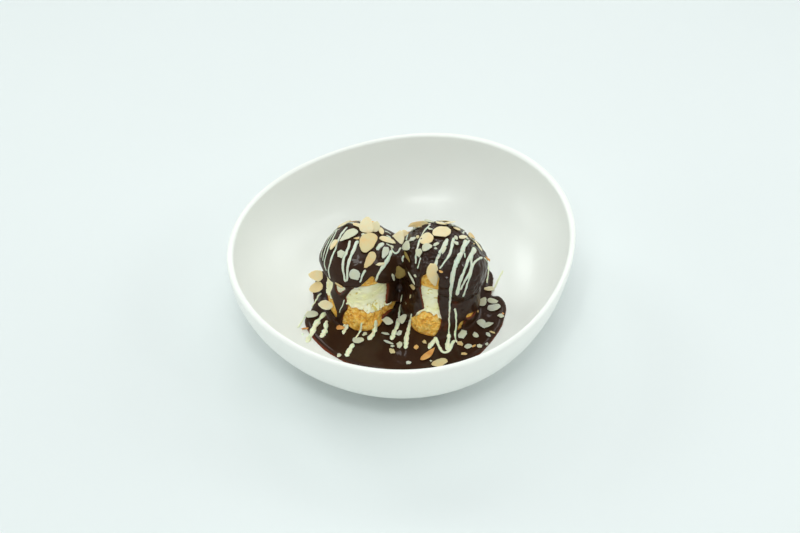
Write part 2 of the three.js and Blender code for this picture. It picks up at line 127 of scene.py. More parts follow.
# Pool of sauce: outline on the floor
POOL_DEPTH = 2.6
POOL_EDGE = 5.0
POOL_OUTLINE = [
    (65.5, 24.5), (61.5, 8), (62.5, 4.6), (67.5, 4.8), (71, -1.4), (71.8, -8.7), (70, -17.3), (66.8, -27.2),
    (59.4, -39.7), (51.7, -50.6), (40.4, -58), (26, -65), (8, -69), (-12, -67), (-30, -61), (-42, -54.5),
    (-51.3, -46.5), (-60.5, -35.5), (-66.5, -24.4), (-67.5, -17.2), (-63.5, -8), (-61.5, -1), (-62.5, 6),
    (-63.5, 14), (-57.9, 31), (-40, 37), (-16, 38), (4, 32), (24, 39), (48, 38), (60, 33),
]

# White chocolate: widths at both ends in millimetres, and pixels along each stripe
STRIPES = [
    (0.65, 0.55, [(329.3, 235.9), (326, 240.3), (323.2, 244.2), (321.3, 247.6), (320.2, 251.4)]),
    (0.7, 0.6, [(332.1, 233.7), (329, 238.1), (326.6, 242.3), (324.3, 245.9), (322.6, 249.8), (321.6, 253.7),
        (321.1, 258.1)]),
    (0.8, 0.7, [(334.3, 232.6), (331, 237.6), (328.5, 242.6), (326.3, 247), (324.6, 251.4), (323.5, 255.9),
        (322.8, 261)]),
    (1.1, 0.9, [(337.4, 229.2), (335.2, 234.2), (332.7, 239.2), (330.2, 244.2), (328.2, 248.7),
        (326.8, 253.1), (325.4, 257.6), (324.6, 262), (324.8, 266), (326.6, 271)]),
    (1.3, 1.1, [(347.1, 227), (343.8, 230.9), (341, 234.8), (338.6, 239.7), (336.5, 245), (335.2, 249.8),
        (333.2, 253.7), (331.6, 258.1), (330.2, 262.6), (329.1, 267), (328.5, 272), (330.4, 278.7)]),
    (1.7, 1.2, [(349.9, 240.4), (348.8, 245.9), (347.1, 250.9), (345.2, 255.3), (343.5, 259.8),
        (342.9, 264.2), (343.1, 268.7), (343.8, 273.7), (344.6, 278.1), (345.4, 282)]),
    (2.0, 1.1, [(357.6, 240.4), (355.4, 245.9), (353.8, 250.3), (351.6, 254.8), (349.6, 259.8),
        (348.2, 264.2), (347.2, 269.2), (347.1, 274.2), (347, 278.1), (346.3, 281.4)]),
    (1.3, 1.0, [(365.4, 269.6), (362.7, 274.8), (361.3, 278.7), (359.9, 282.6)]),
    (1.6, 3.0, [(384, 243.2), (380, 245.5), (376.4, 250)]),
    (2.0, 1.3, [(391.6, 250.5), (388.6, 258), (385.5, 263), (382.3, 268), (378.8, 273.3), (376.6, 278.5),
        (375.8, 281.5)]),
    (2.7, 2.2, [(389.4, 256), (386.6, 261.5), (383.3, 266), (379.8, 271.5)]),
    (1.1, 1.0, [(386, 243.5), (390.5, 246.5), (392.5, 251.5), (395.5, 254), (398, 252), (401, 247.5)]),
    (1.0, 0.8, [(384.5, 231), (388, 232.4), (391, 234.4)]),
    (0.9, 0.8, [(386, 235.2), (388.5, 236.2), (391, 238.5)]),
    (1.5, 1.2, [(404, 255.5), (402.6, 259), (403, 262)]),
    (0.8, 0.9, [(402.4, 294.5), (401.2, 299), (400.6, 304), (399.8, 309), (398.8, 318)]),
    (0.6, 0.5, [(344.5, 299.5), (343, 305), (340.6, 309), (339.6, 313)]),
    (0.9, 0.9, [(321.5, 293), (317.5, 297.5), (314.6, 303), (311.5, 307)]),
    (2.0, 2.6, [(325.4, 312.5), (321.6, 317), (316.6, 323), (313.2, 330), (310, 337), (306.4, 342.5)]),
    (1.6, 3.0, [(326.9, 320.5), (325.7, 325), (326.1, 328.2), (324, 333), (321.2, 337.8)]),
    (1.6, 1.6, [(348.3, 324.6), (346, 328), (344.4, 331), (343, 334.4)]),
    (1.7, 1.6, [(343, 325.5), (346.6, 325.6)]),
    (1.1, 1.1, [(361.2, 322.3), (361.1, 327), (359.6, 332), (356.6, 337), (354, 340)]),
    (1.9, 2.9, [(353.4, 343.5), (349.4, 350.5), (346, 356.6)]),
    (1.6, 2.4, [(375.2, 320), (375.6, 325), (374.8, 330), (371.6, 336), (367.8, 340)]),
    (1.4, 2.4, [(398.3, 318), (397.8, 325), (394.9, 330), (392.9, 336), (391.4, 340)]),
    (0.9, 2.6, [(411.8, 313.5), (411, 318), (409.6, 323), (408.5, 329), (407, 336), (406.2, 342),
        (405.8, 349)]),
    (1.4, 2.2, [(435.5, 336.8), (433.6, 341), (431, 345), (428.4, 349)]),
    (1.3, 1.5, [(435.8, 337), (437.5, 343), (440, 349), (443.5, 352.6), (447.5, 352.2), (450.5, 349),
        (452.5, 344), (454.8, 340)]),
    (1.2, 2.8, [(449, 333), (448.5, 339), (447.8, 345), (447.2, 350.5)]),
    (0.9, 0.8, [(449.3, 315), (449.3, 325), (449, 334)]),
    (1.2, 0.8, [(455, 308), (455.6, 313), (456.3, 320), (455.8, 328), (455.1, 334), (455.9, 339),
        (457.4, 343)]),
    (1.4, 1.4, [(453.5, 341), (451.8, 345), (450.6, 349)]),
    (1.1, 0.9, [(503, 270.5), (499.6, 277), (496.8, 283), (494.5, 288.5)]),
    (0.9, 0.8, [(308, 311), (304.5, 317), (301, 323), (297.5, 328)]),
    (2.4, 2.4, [(301.5, 334), (303.5, 335)]),
    (1.3, 0.9, [(430.5, 224.5), (426.9, 228.1), (423.4, 232.5), (420.3, 238.8), (418.4, 245), (416.8, 251.2),
        (415.9, 257.5), (415.8, 264)]),
    (1.1, 1.0, [(409, 231), (407.2, 236), (406, 240.5)]),
    (1.3, 0.8, [(420.6, 257.5), (419.2, 262), (417.8, 269)]),
    (2.2, 1.5, [(447.6, 238.4), (443.9, 246.3), (440, 252.5), (437.2, 258.8), (435.6, 265), (434.8, 269)]),
    (1.7, 0.9, [(453.8, 237.5), (452.3, 245.6), (450.1, 252.5), (446.8, 258.8), (442.8, 264.8),
        (439.6, 268.8)]),
    (2.2, 3.0, [(468, 236.8), (464.8, 243.6), (461.6, 252.3), (457.9, 258.5), (455.4, 264.6), (454.2, 268)]),
    (3.0, 1.7, [(457.9, 258.5), (455.2, 265), (453.4, 271), (452.3, 277.5), (451.5, 284), (450.9, 291)]),
    (1.8, 0.8, [(451.6, 283), (450.9, 290), (450.4, 296.3), (449.9, 302.5), (449.5, 308.8), (449.2, 316)]),
    (1.3, 1.5, [(473.6, 239.7), (470.5, 239.8), (467.4, 242.6), (464.8, 246.6)]),
    (3.0, 2.3, [(474.8, 247.8), (472.4, 252.5), (470.3, 257), (469.2, 260)]),
    (1.7, 1.6, [(470.6, 256), (468, 260), (466.2, 266), (463.6, 272), (461.2, 277.6), (459.6, 283)]),
    (1.7, 2.1, [(461, 278), (459.2, 284), (458, 290), (457.4, 295.4)]),
    (1.8, 1.3, [(472.2, 253), (471.2, 259), (471.5, 266), (469.6, 272), (466.4, 278), (463.2, 284),
        (460.6, 290)]),
    (1.2, 1.3, [(487.4, 261.6), (485.6, 259), (482.6, 257.8), (479.6, 258.3), (476, 260.8), (473.4, 264.6),
        (472, 269.5)]),
    (1.5, 1.2, [(472, 268), (470.6, 274), (468.4, 280), (466.6, 286), (465, 291.5), (462.8, 297)]),
    (0.8, 0.6, [(487.2, 261), (488.3, 266), (488.4, 272), (487.6, 278), (486.9, 283.5)]),
    (0.9, 0.7, [(464.5, 252.5), (464.8, 258)]),
]
# The same on the backs of the buns, as bun, widths, and azimuths with heights
BACK_STRIPES = [
    ("left", 1.3, 1.0, [(100, 66), (112, 62), (120, 55), (124, 47)]),
    ("left", 1.5, 1.1, [(78, 66), (92, 60), (98, 52), (100, 43), (104, 36)]),
    ("left", 1.2, 1.0, [(48, 66), (66, 60), (74, 52), (76, 46)]),
    ("left", 1.0, 0.9, [(140, 63), (150, 56), (154, 48)]),
    ("right", 1.5, 1.2, [(130, 66), (142, 60), (148, 52), (150, 44)]),
    ("right", 1.6, 1.1, [(96, 67), (112, 61), (118, 53), (121, 44), (124, 35)]),
    ("right", 1.3, 1.0, [(60, 66), (80, 61), (88, 53), (92, 45)]),
    ("right", 1.2, 0.9, [(30, 64), (48, 58), (56, 50), (60, 42)]),
]

# Flaked almonds: pixels at the round and the pointed end, width in millimetres and kind. One that stands up
# from its first pixel has a 1 after these, or -1 if it stands on its pointed end.
TAN, PALE, TOASTED = "almond_tan", "almond_pale", "almond_toasted"
CREAM, SHADED = "almond_cream", "almond_shaded"
FLAKES = [
    (338, 228, 352.5, 222, 4.5, CREAM), (353.5, 224, 365, 229, 3.4, CREAM), (357.1, 230, 340, 242, 6.4, PALE),
    (371.5, 233, 362.5, 253.5, 9.8, TAN), (337, 239.6, 331, 250, 5.0, CREAM),
    (341.2, 249.5, 341, 258.5, 5.6, PALE), (361, 238, 354, 239.6, 2.4, TAN),
    (361, 234.5, 365.3, 235.2, 2.2, PALE), (380, 228, 381.5, 236, 3.6, CREAM),
    (379.5, 238, 395.5, 243.3, 4.2, CREAM), (389, 245.6, 393.6, 248.2, 2.6, PALE),
    (387, 246.5, 381, 259, 4.6, PALE), (374.5, 252, 364.6, 268.3, 5.2, TAN),
    (384.5, 263.4, 375, 265, 2.4, CREAM), (354.1, 269, 355.6, 281, 6.8, PALE),
    (403.5, 265, 398, 277, 7.4, SHADED), (391.6, 273.5, 393.6, 280.5, 1.9, PALE),
    (335.5, 282.4, 344.5, 287, 2.4, TAN), (335.8, 327.6, 344.5, 329, 4.0, TOASTED),
    (352.5, 340, 364, 341, 6.6, PALE), (337, 354.4, 341.6, 356.6, 3.2, PALE),
    (362.5, 333.6, 366.6, 335, 4.0, PALE), (380.5, 322, 392.5, 326.6, 6.0, PALE),
    (381, 333, 390, 335.4, 2.8, PALE), (384, 341, 393.5, 345.6, 1.6, PALE), (390, 346, 394.5, 347, 2.2, PALE),
    (389.6, 349, 394.5, 354.5, 3.8, TAN), (396.8, 336, 402.5, 331.6, 4.0, PALE),
    (399, 341.6, 400, 348.6, 4.4, PALE), (400.5, 325, 408.6, 315.4, 4.6, PALE),
    (422, 340.6, 426.4, 344, 2.8, TAN), (413.6, 348.4, 419, 347.2, 4.0, TOASTED),
    (421.3, 361, 436.3, 350.5, 4.4, TOASTED), (405, 364, 411.2, 362.6, 3.2, PALE),
    (429.6, 361.6, 432.2, 361, 1.5, PALE), (448.6, 363, 431.6, 366, 7.0, TAN),
    (458, 334.6, 467.4, 336, 8.4, PALE), (458.6, 341.6, 461.6, 346.6, 3.8, TAN),
    (474, 332.6, 477.4, 338.6, 3.8, PALE), (479.6, 320, 484.6, 329, 5.0, PALE),
    (482.6, 327.6, 494, 323.6, 4.2, PALE), (489.6, 331.8, 495.4, 334, 1.7, TAN),
    (486.6, 332.8, 490.2, 337.6, 2.8, PALE), (487.6, 308.6, 501, 307.6, 6.4, PALE),
    (487.6, 300.2, 499.4, 303.8, 3.8, PALE), (479.4, 306.6, 485.6, 299, 5.4, PALE),
    (496.6, 315, 504.6, 318, 3.8, PALE), (501.6, 313, 503.8, 314.6, 1.6, TOASTED),
    (494.4, 289.4, 483.4, 290, 3.6, CREAM), (465, 348.6, 471.4, 345.4, 5.6, PALE),
    (472, 347.6, 475.8, 345.4, 1.9, TOASTED), (477.4, 345, 481.8, 347.6, 3.4, PALE),
    (460.4, 354.4, 467.6, 354.6, 2.8, TAN), (485.4, 345.6, 487.6, 343, 2.2, PALE),
    (476.4, 311, 478.4, 312, 1.6, TAN), (410.6, 285, 416, 288.6, 4.0, TAN),
    (409.2, 271.6, 416, 284.2, 1.7, PALE), (414.2, 274.8, 417, 276.6, 2.2, PALE),
    (411.3, 294, 410.7, 298.6, 1.2, TAN), (428, 223.6, 405.3, 225.4, 3.8, TAN, 1),
    (424.6, 221, 434, 223.6, 2.6, PALE), (435.6, 222.6, 446.4, 226, 2.8, CREAM),
    (446.4, 223.6, 454, 229, 6.6, CREAM), (453, 228, 460.6, 232, 3.8, CREAM),
    (433, 232.6, 451.6, 234, 9.4, CREAM), (420.8, 237.6, 433.6, 240.6, 8.0, CREAM),
    (422, 248.4, 432.6, 246.6, 5.0, PALE), (419, 246.6, 420.6, 257.4, 5.6, PALE),
    (405, 244, 411.4, 250.6, 6.0, PALE), (409.6, 240, 416.2, 239.4, 4.6, PALE),
    (410.6, 231.6, 414.6, 231, 3.2, PALE), (412.6, 228, 421.6, 227.6, 1.7, PALE),
    (427.4, 228.4, 432.8, 230.8, 1.9, PALE), (417, 236, 419, 239, 2.4, TAN),
    (433, 246.6, 439.6, 243.4, 2.4, PALE), (434, 248.4, 437.6, 249, 1.6, PALE),
    (446.3, 245.6, 441.8, 254.6, 2.4, PALE), (452.6, 242, 459.4, 245, 2.6, PALE),
    (455, 235.6, 456.4, 240.4, 2.8, PALE), (458.8, 238.2, 466.4, 237.4, 2.8, CREAM),
    (474, 241.6, 480, 253.4, 2.8, CREAM), (470, 244, 474.2, 245.6, 1.3, TAN),
    (485.2, 256.4, 491, 262, 1.7, TOASTED, 1), (428.6, 260.2, 432.4, 280.6, 7.4, CREAM),
    (438.6, 270.4, 443.2, 272.2, 1.7, TOASTED), (405.4, 252, 411.4, 263.4, 1.8, SHADED),
    (300.2, 331, 308.8, 330.2, 1.7, TOASTED), (322.5, 276.4, 307.6, 274.2, 6.6, CREAM, 1),
    (322, 284.6, 308, 291, 6.2, CREAM, 1), (333, 304.4, 317, 304.6, 6.4, CREAM, 1),
    (317.6, 313, 304.6, 317.4, 6.4, PALE), (366, 233, 367.5, 215.4, 8.6, CREAM, 1),
    (369.5, 231, 380, 223, 6.0, CREAM, -1), (401.4, 243.6, 395.6, 229.4, 7.2, CREAM, -1),
    (401.6, 243, 406.4, 229.4, 5.6, CREAM, -1),
]
# The same on the backs of the buns, as bun, azimuth, height, length, width, turn and kind
BACK_FLAKES = [
    ("left", 100, 57, 12, 8, 30, TAN), ("left", 128, 56, 9, 6, 110, PALE), ("left", 72, 53, 11, 7, 70, TAN),
    ("left", 92, 44, 7, 5, 10, PALE), ("left", 132, 44, 8, 5, 140, TAN), ("left", 112, 22, 8, 6, 60, PALE),
    ("left", 60, 62, 6, 4, 20, TOASTED), ("right", 96, 57, 13, 8, 160, TAN),
    ("right", 124, 56, 10, 6, 40, TAN), ("right", 66, 56, 10, 7, 80, PALE), ("right", 44, 50, 8, 5, 130, TAN),
    ("right", 88, 46, 7, 5, 10, PALE), ("right", 20, 56, 7, 4, 60, PALE),
    ("right", 140, 48, 8, 5, 100, TOASTED), ("right", 76, 24, 8, 5, 45, TAN),
]

# Camera: the photograph's, in millimetres and degrees
CAMERA_AIM = np.array([-1.85, 12.94, 30.0])
CAMERA_DISTANCE = 919.0
CAMERA_TILT = 45.0
CAMERA_LENS = 60.0
SENSOR = 36.0
FRAME = (800, 533)

# Resolution
VOXEL = 0.6
SAUCE_TRIANGLES = 190000
BUN_COLUMNS = 320
BOWL_COLUMNS = 240


def smoothstep(x, low, high):
    t = np.clip((x - low) / (high - low), 0, 1)
    return t * t * (3 - 2 * t)


def lerp(a, b, t):
    return a + (b - a) * t


def all_round(count):
    """That many angles round a full turn."""
    return np.linspace(0, 2 * math.pi, count, endpoint=False)


def scatter(x, y, z):
    """A random value from -1 to 1 for each whole-numbered place."""
    h = x * 73856093 ^ y * 19349663 ^ z * 83492791
    h = (h ^ (h >> 13)) * 1274126177
    return ((h ^ (h >> 16)) & 0xFFFF) / 32767.5 - 1


def noise(points, cell, seed=0):
    """Smooth random values from -1 to 1 in space, with features about a cell across."""
    q = np.asarray(points, dtype=np.float64) / cell + 17.31 * seed + 1000
    corner = np.floor(q).astype(np.int64)
    t = q - corner
    t = t * t * (3 - 2 * t)
    total = 0
    for shift in np.ndindex(2, 2, 2):
        value = scatter(*np.moveaxis(corner + shift, -1, 0))
        weight = 1
        for axis, d in enumerate(shift):
            weight = weight * (t[..., axis] if d else 1 - t[..., axis])
        total = total + value * weight
    return total


def polygon_distance(x, y, outline):
    """Signed distance to a closed outline, negative inside."""
    best = np.full(np.shape(x), np.inf)
    inside = np.zeros(np.shape(x), dtype=bool)
    for (ax, ay), (bx, by) in zip(outline, outline[1:] + outline[:1]):
        ex, ey = bx - ax, by - ay
        t = np.clip(((x - ax) * ex + (y - ay) * ey) / (ex * ex + ey * ey + 1e-9), 0, 1)
        best = np.minimum(best, np.hypot(x - ax - t * ex, y - ay - t * ey))
        crosses = ((ay > y) != (by > y)) & (x < ex * (y - ay) / (ey if ey else 1e-9) + ax)
        inside ^= crosses
    return np.where(inside, -best, best)


def rounded(outline, passes=2):
    """The outline with its corners cut, so that it runs smoothly."""
    for _ in range(passes):
        cut = []
        for (ax, ay), (bx, by) in zip(outline, outline[1:] + outline[:1]):
            cut += [(lerp(ax, bx, 0.25), lerp(ay, by, 0.25)), (lerp(ax, bx, 0.75), lerp(ay, by, 0.75))]
        outline = cut
    return outline


# Bowl surface

def rim_radius(angle):
    oval = OVAL[0] * np.cos(2 * (angle - math.radians(OVAL[1])))
    egg = EGG[0] * np.cos(3 * (angle - math.radians(EGG[1])))
    return RIM_RADIUS + oval + egg


def bowl_place(radius, angle):
    """Place in plan of a point of the round profile, which becomes oval towards the rim."""
    share = (radius / RIM_RADIUS) ** 2
    r = radius * (1 + (rim_radius(angle) / RIM_RADIUS - 1) * share)
    x = lerp(FOOT_CENTRE[0], RIM_CENTRE[0], share) + r * np.cos(angle)
    y = lerp(FOOT_CENTRE[1], RIM_CENTRE[1], share) + r * np.sin(angle)
    return x, y


def floor_height(x, y):
    """Height of the bowl's inner surface, from the radius in its round profile, which a few steps find."""
    radius = np.hypot(x, y)
    for _ in range(4):
        share = (radius / RIM_RADIUS) ** 2
        dx = x - lerp(FOOT_CENTRE[0], RIM_CENTRE[0], share)
        dy = y - lerp(FOOT_CENTRE[1], RIM_CENTRE[1], share)
        radius = np.hypot(dx, dy) / (1 + (rim_radius(np.arctan2(dy, dx)) / RIM_RADIUS - 1) * share)
    share = np.clip((radius - FLOOR_RADIUS) / (INNER_RIM - FLOOR_RADIUS), 0, 1)
    return FLOOR_HEIGHT + (LIP_HEIGHT - FLOOR_HEIGHT) * (1 - (1 - share**FLOOR_CURVE) ** (1 / FLOOR_CURVE))


# Bun surface

def centre(bun, z):
    """Place in plan of the bun's leaning middle line."""
    share = np.clip((z - BASE_BOTTOM) / (bun["waist"] - BASE_BOTTOM), 0, 1)
    return lerp(bun["base"][0], bun["cap"][0], share), lerp(bun["base"][1], bun["cap"][1], share)


def felt(form, angle):
    """How much of a bulge, slump or join there is at an azimuth."""
    azimuth, width, size = form
    return size * smoothstep(np.cos(angle - math.radians(azimuth)), math.cos(math.radians(width)), 1)


def side_radius(bun, z, angle):
    wobble = 1 + 0.012 * np.sin(3 * angle + bun["phase"]) + 0.01 * np.sin(5 * angle + z / 9 + bun["phase"])
    bulge = felt(bun["bulge"], angle) * (1 - smoothstep(z, BASE_TOP - 2, BASE_TOP + 4))
    slump = sum(felt(fall, angle) for fall in bun["slumps"])
    slump = slump * smoothstep(z, CAP_BOTTOM - 4, CAP_BOTTOM + 14)
    share = np.interp(np.clip((z - BASE_BOTTOM) / (bun["waist"] - BASE_BOTTOM), 0, 1), *SIDE)
    return bun["radius"] * share * wobble + bulge - slump


def bun_point(bun, z, angle, offset=0.0):
    """Points of the bun's surface, or of one offset from it."""
    cx, cy = centre(bun, z)
    up = np.clip((z - bun["waist"]) / (bun["dome"] + offset), 0, 1)
    radius = (side_radius(bun, z, angle) + offset) * np.sqrt(1 - up**DOME_POWER)
    return np.stack([cx + radius * np.cos(angle), cy + radius * np.sin(angle), z + 0 * angle], -1)


def bun_distance(bun, points):
    """About how far points are outside the bun's food, and their azimuth."""
    x, y, z = points[..., 0], points[..., 1], points[..., 2]
    cx, cy = centre(bun, z)
    rho = np.hypot(x - cx, y - cy)
    angle = np.arctan2(y - cy, x - cx)
    radius = side_radius(bun, z, angle)
    up = np.clip((z - bun["waist"]) / bun["dome"], 0, None)
    gauge = (rho / radius) ** 2 + up**DOME_POWER
    slope = np.hypot(2 * rho / radius**2, DOME_POWER * up ** (DOME_POWER - 1) / bun["dome"]) + 1e-3
    return (gauge - 1) / slope, angle


# Camera rays

TILT = math.radians(CAMERA_TILT)
CAMERA_FORWARD = np.array([0, math.cos(TILT), -math.sin(TILT)])
CAMERA_UP = np.array([0, math.sin(TILT), math.cos(TILT)])
CAMERA_PLACE = CAMERA_AIM - CAMERA_DISTANCE * CAMERA_FORWARD


def pixel_rays(pixels):
    pixels = np.asarray(pixels, dtype=float)
    focal = CAMERA_LENS / SENSOR * FRAME[0]
    across = (pixels[..., 0:1] - FRAME[0] / 2) * np.array([1.0, 0, 0])
    upward = (FRAME[1] / 2 - pixels[..., 1:2]) * CAMERA_UP
    rays = focal * CAMERA_FORWARD + across + upward
    return rays / np.linalg.norm(rays, axis=-1, keepdims=True)


RAY_START = 85.0  # height above all of the food
RAY_STEPS = 90
RAY_SHARE = 0.7  # how much of the estimated distance one step goes
RAY_STEP = (-2, 6)  # farthest back and farthest on before that share
RAY_GAP = 0.3  # a ray this close has reached its surface


def cast(distance, pixels):
    """First points of a surface on the camera's rays through pixels, or the nearest ones of rays that miss."""
    rays = pixel_rays(pixels)
    travelled = (CAMERA_PLACE[2] - RAY_START) / -rays[..., 2]
    nearest, closest = travelled, np.full(travelled.shape, np.inf)
    for _ in range(RAY_STEPS):
        gap = distance(CAMERA_PLACE + rays * travelled[..., None])
        nearest = np.where(gap < closest, travelled, nearest)
        closest = np.minimum(gap, closest)
        travelled = travelled + RAY_SHARE * np.clip(gap, *RAY_STEP)
    reached = np.where(np.abs(gap) < RAY_GAP, travelled, nearest)
    return CAMERA_PLACE + rays * reached[..., None]


def gradient(distance, points, step=0.8):
    """Outward unit normals of a surface."""
    slopes = []
    for axis in range(3):
        shift = np.zeros(3)
        shift[axis] = step
        slopes.append(distance(points + shift) - distance(points - shift))
    normals = np.stack(slopes, -1)
    return normals / (np.linalg.norm(normals, axis=-1, keepdims=True) + 1e-9)


# Sauce: thickness over each bun as a map of azimuth and height, and one smooth surface round pool and coats

MAP_STEP = 0.5
MAP_AZIMUTH = np.arange(-180, 181, 1.0)
MAP_HEIGHT = np.arange(4, 76, MAP_STEP)
SAUCE_EDGE = 2.4  # width of the rounded edge of a coat
THICK_EDGE = 3.0  # and of the edge with which the thick sauce of a cap hangs over
CAP_WINDOW_EDGE = 1.2  # and of that thick sauce round a bare place
ABSENT = -2.5  # thickness in a bare place, reached this far inside its outline:
ABSENT_WITHIN = 0.6
JOIN_HEIGHTS = (24, 34, 56, 62)  # where the sauce between the buns begins, is full, thins and ends


def risen(distance, edge):
    """Share of a rounded edge's full height at a distance inside it."""
    t = np.clip(distance / edge, 0, 1)
    return np.where(distance > 0, np.sqrt(1 - (1 - t) ** 2), 0)


def near_azimuth(azimuth, middle):
    """The same azimuth in degrees, written within half a turn of a middle one."""
    return middle + (azimuth - middle + 180) % 360 - 180


def bare_outlines(bun):
    """Outlines of the bun's bare places as azimuth and height."""
    outlines = []
    for pixels in BARE_PIXELS[bun["name"]]:
        points = cast(lambda p: bun_distance(bun, p)[0], pixels)
        angle = np.degrees(bun_distance(bun, points)[1])
        outlines.append(list(zip(near_azimuth(angle, angle[0]), points[:, 2])))
    return outlines + BARE_BACK[bun["name"]]


def bare_distance(bun, azimuth, height):
    """Distance along the surface from the bun's bare places, negative within them."""
    arc = math.radians(1) * bun["radius"]
    nearest = np.full(azimuth.shape, 99.0)
    for outline in bare_outlines(bun):
        middle = np.mean([a for a, _ in outline])
        shape = rounded([(arc * near_azimuth(a, middle), z) for a, z in outline], 1)
        nearest = np.minimum(nearest, polygon_distance(arc * near_azimuth(azimuth, middle), height, shape))
    return nearest


def thickness_map(bun):
    """Thickness of the sauce at each azimuth and height of the map, negative in bare places."""
    azimuth, height = np.meshgrid(MAP_AZIMUTH, MAP_HEIGHT, indexing="ij")
    places = bun_point(bun, np.minimum(height, bun["waist"] + bun["dome"] - 0.01), np.radians(azimuth))
    covered = bare_distance(bun, azimuth, height) + 0.35 * noise(places, 3.0, 5)
    hang = height - np.interp(azimuth, *bun["overhang"]) + 1.2 * noise(places, 7.0, 6)
    edge, side = risen(covered, SAUCE_EDGE), bun["side_coat"]
    extra = bun["coat"] + CAP_EXTRA - side
    thick = side * edge + extra * risen(hang, THICK_EDGE) * risen(covered, CAP_WINDOW_EDGE)
    begins, full, fades, ends = JOIN_HEIGHTS
    join = felt(bun["join"], np.radians(azimuth)) * smoothstep(height, begins, full)
    join = join * (1 - smoothstep(height, fades, ends))
    streams = 0.45 * noise(places * [1, 1, 0.3], 6.0, 7) * (1 - smoothstep(hang, -4, 0))
    crags = noise(places, 3.4, 8) + 0.7 * noise(places, 1.7, 9)
    crags = bun["lumps"] * crags * smoothstep(hang, 0, 5) * smoothstep(noise(places, 11.0, 10), -0.5, 0.3)
    thick = thick + join + (streams + crags) * edge
    return np.where(covered > 0, thick, ABSENT * np.clip(-covered / ABSENT_WITHIN, 0, 1))


def blend(a, b, width):
    """Smaller of two distances, with a fillet where they meet."""
    h = np.clip(0.5 + 0.5 * (b - a) / width, 0, 1)
    return lerp(b, a, h) - width * h * (1 - h)


for bun in BUNS:
    bun["thickness"] = thickness_map(bun)
POOL_SHAPE = rounded(POOL_OUTLINE)
PLAN_STEP = 0.5
PLAN_X = np.arange(-85, 85, PLAN_STEP)
PLAN_Y = np.arange(-80, 60, PLAN_STEP)
POOL_NEAR = -6  # outside the pool by no more than this, its wavy edge is worked out
POOL_OUTSIDE = -4  # lift at and beyond that distance outside the pool


def pool_lift_table():
    """How far the pool's top lies above the bowl over the plan, negative outside the pool."""
    x, y = np.meshgrid(PLAN_X, PLAN_Y, indexing="ij")
    inward = -polygon_distance(x, y, POOL_SHAPE)
    inward = inward + 0.5 * noise(np.stack([x, y, 0 * x], -1), 9.0, 3) * (inward > POOL_NEAR)
    return np.where(inward > 0, POOL_DEPTH * risen(inward, POOL_EDGE), np.clip(inward, POOL_OUTSIDE, 0))


POOL_LIFT = pool_lift_table()


def between(table, i, j):
    """Value of a table between its rows and columns."""
    i = np.clip(i, 0, table.shape[0] - 1.001)
    j = np.clip(j, 0, table.shape[1] - 1.001)
    i0, j0 = i.astype(int), j.astype(int)
    s, t = i - i0, j - j0
    low = table[i0, j0] * (1 - s) + table[i0 + 1, j0] * s
    high = table[i0, j0 + 1] * (1 - s) + table[i0 + 1, j0 + 1] * s
    return low * (1 - t) + high * t


def pool_top(x, y):
    return floor_height(x, y) + between(POOL_LIFT, (x - PLAN_X[0]) / PLAN_STEP, (y - PLAN_Y[0]) / PLAN_STEP)


def coat_thickness(bun, angle, z):
    return between(bun["thickness"], np.degrees(angle) - MAP_AZIMUTH[0], (z - MAP_HEIGHT[0]) / MAP_STEP)


LUMP_REACH = 3  # lumps are worked out this near a coat's surface
COAT_FILLET = 6.0  # width of the fillet where the two coats meet
POOL_FILLET = 3.0  # and where they meet the pool


def sauce_distance(points, top=None):
    """About how far points are outside the sauce."""
    x, y, z = points[..., 0], points[..., 1], points[..., 2]
    if top is None:
        top = pool_top(x, y)
    coats = []
    for bun in BUNS:
        outside, angle = bun_distance(bun, points)
        coat = outside - coat_thickness(bun, angle, z)
        near = np.abs(coat) < LUMP_REACH
        lumps = np.zeros(coat.shape)
        crags = 0.5 * noise(points[near], 3.6, 40) + 0.35 * noise(points[near], 1.9, 41)
        lumps[near] = 0.35 * noise(points[near], 8.0, 1) * smoothstep(z[near], 14, 24)
        lumps[near] += bun["lumps"] * crags * smoothstep(z[near], 44, 56)
        coats.append(np.maximum(coat - np.where(coat < outside, lumps, 0), BASE_BOTTOM - z))
    return blend(z - top, blend(*coats, COAT_FILLET), POOL_FILLET)


def food_distance(points):
    return np.minimum(bun_distance(LEFT, points)[0], bun_distance(RIGHT, points)[0])


def top_distance(points):
    """Distance to whatever lies uppermost: sauce, bare food or bare bowl."""
    bowl = points[..., 2] - floor_height(points[..., 0], points[..., 1])
    return np.minimum(np.minimum(sauce_distance(points), food_distance(points)), bowl)


# Meshes

def add_object(name, data):
    made = bpy.data.objects.new(name, data)
    bpy.context.scene.collection.objects.link(made)
    return made


def add_mesh(name, verts, faces, material, uv=None):
    """A smooth-shaded object from points in millimetres. uv has two looks values for each, for its material."""
    mesh = bpy.data.meshes.new(name)
    mesh.from_pydata((np.asarray(verts) * MM).tolist(), [], [list(map(int, f)) for f in faces])
    mesh.polygons.foreach_set("use_smooth", [True] * len(mesh.polygons))
    if uv is not None:
        corners = np.empty(len(mesh.loops), dtype=np.int64)
        mesh.loops.foreach_get("vertex_index", corners)
        layer = mesh.uv_layers.new(name="looks")
        layer.data.foreach_set("uv", np.asarray(uv, dtype=float)[corners].ravel())
    mesh.update()
    mesh.materials.append(material)
    return add_object(name, mesh)


def add_pieces(name, pieces, material):
    """One object from pieces, each with points, faces and, if its material reads them, looks values."""
    starts = np.cumsum([0] + [len(piece[0]) for piece in pieces])
    faces = [[i + start for i in face] for start, piece in zip(starts, pieces) for face in piece[1]]
    looks = [piece[2] for piece in pieces if len(piece) > 2]
    verts = np.concatenate([piece[0] for piece in pieces])
    return add_mesh(name, verts, faces, material, np.concatenate(looks) if looks else None)


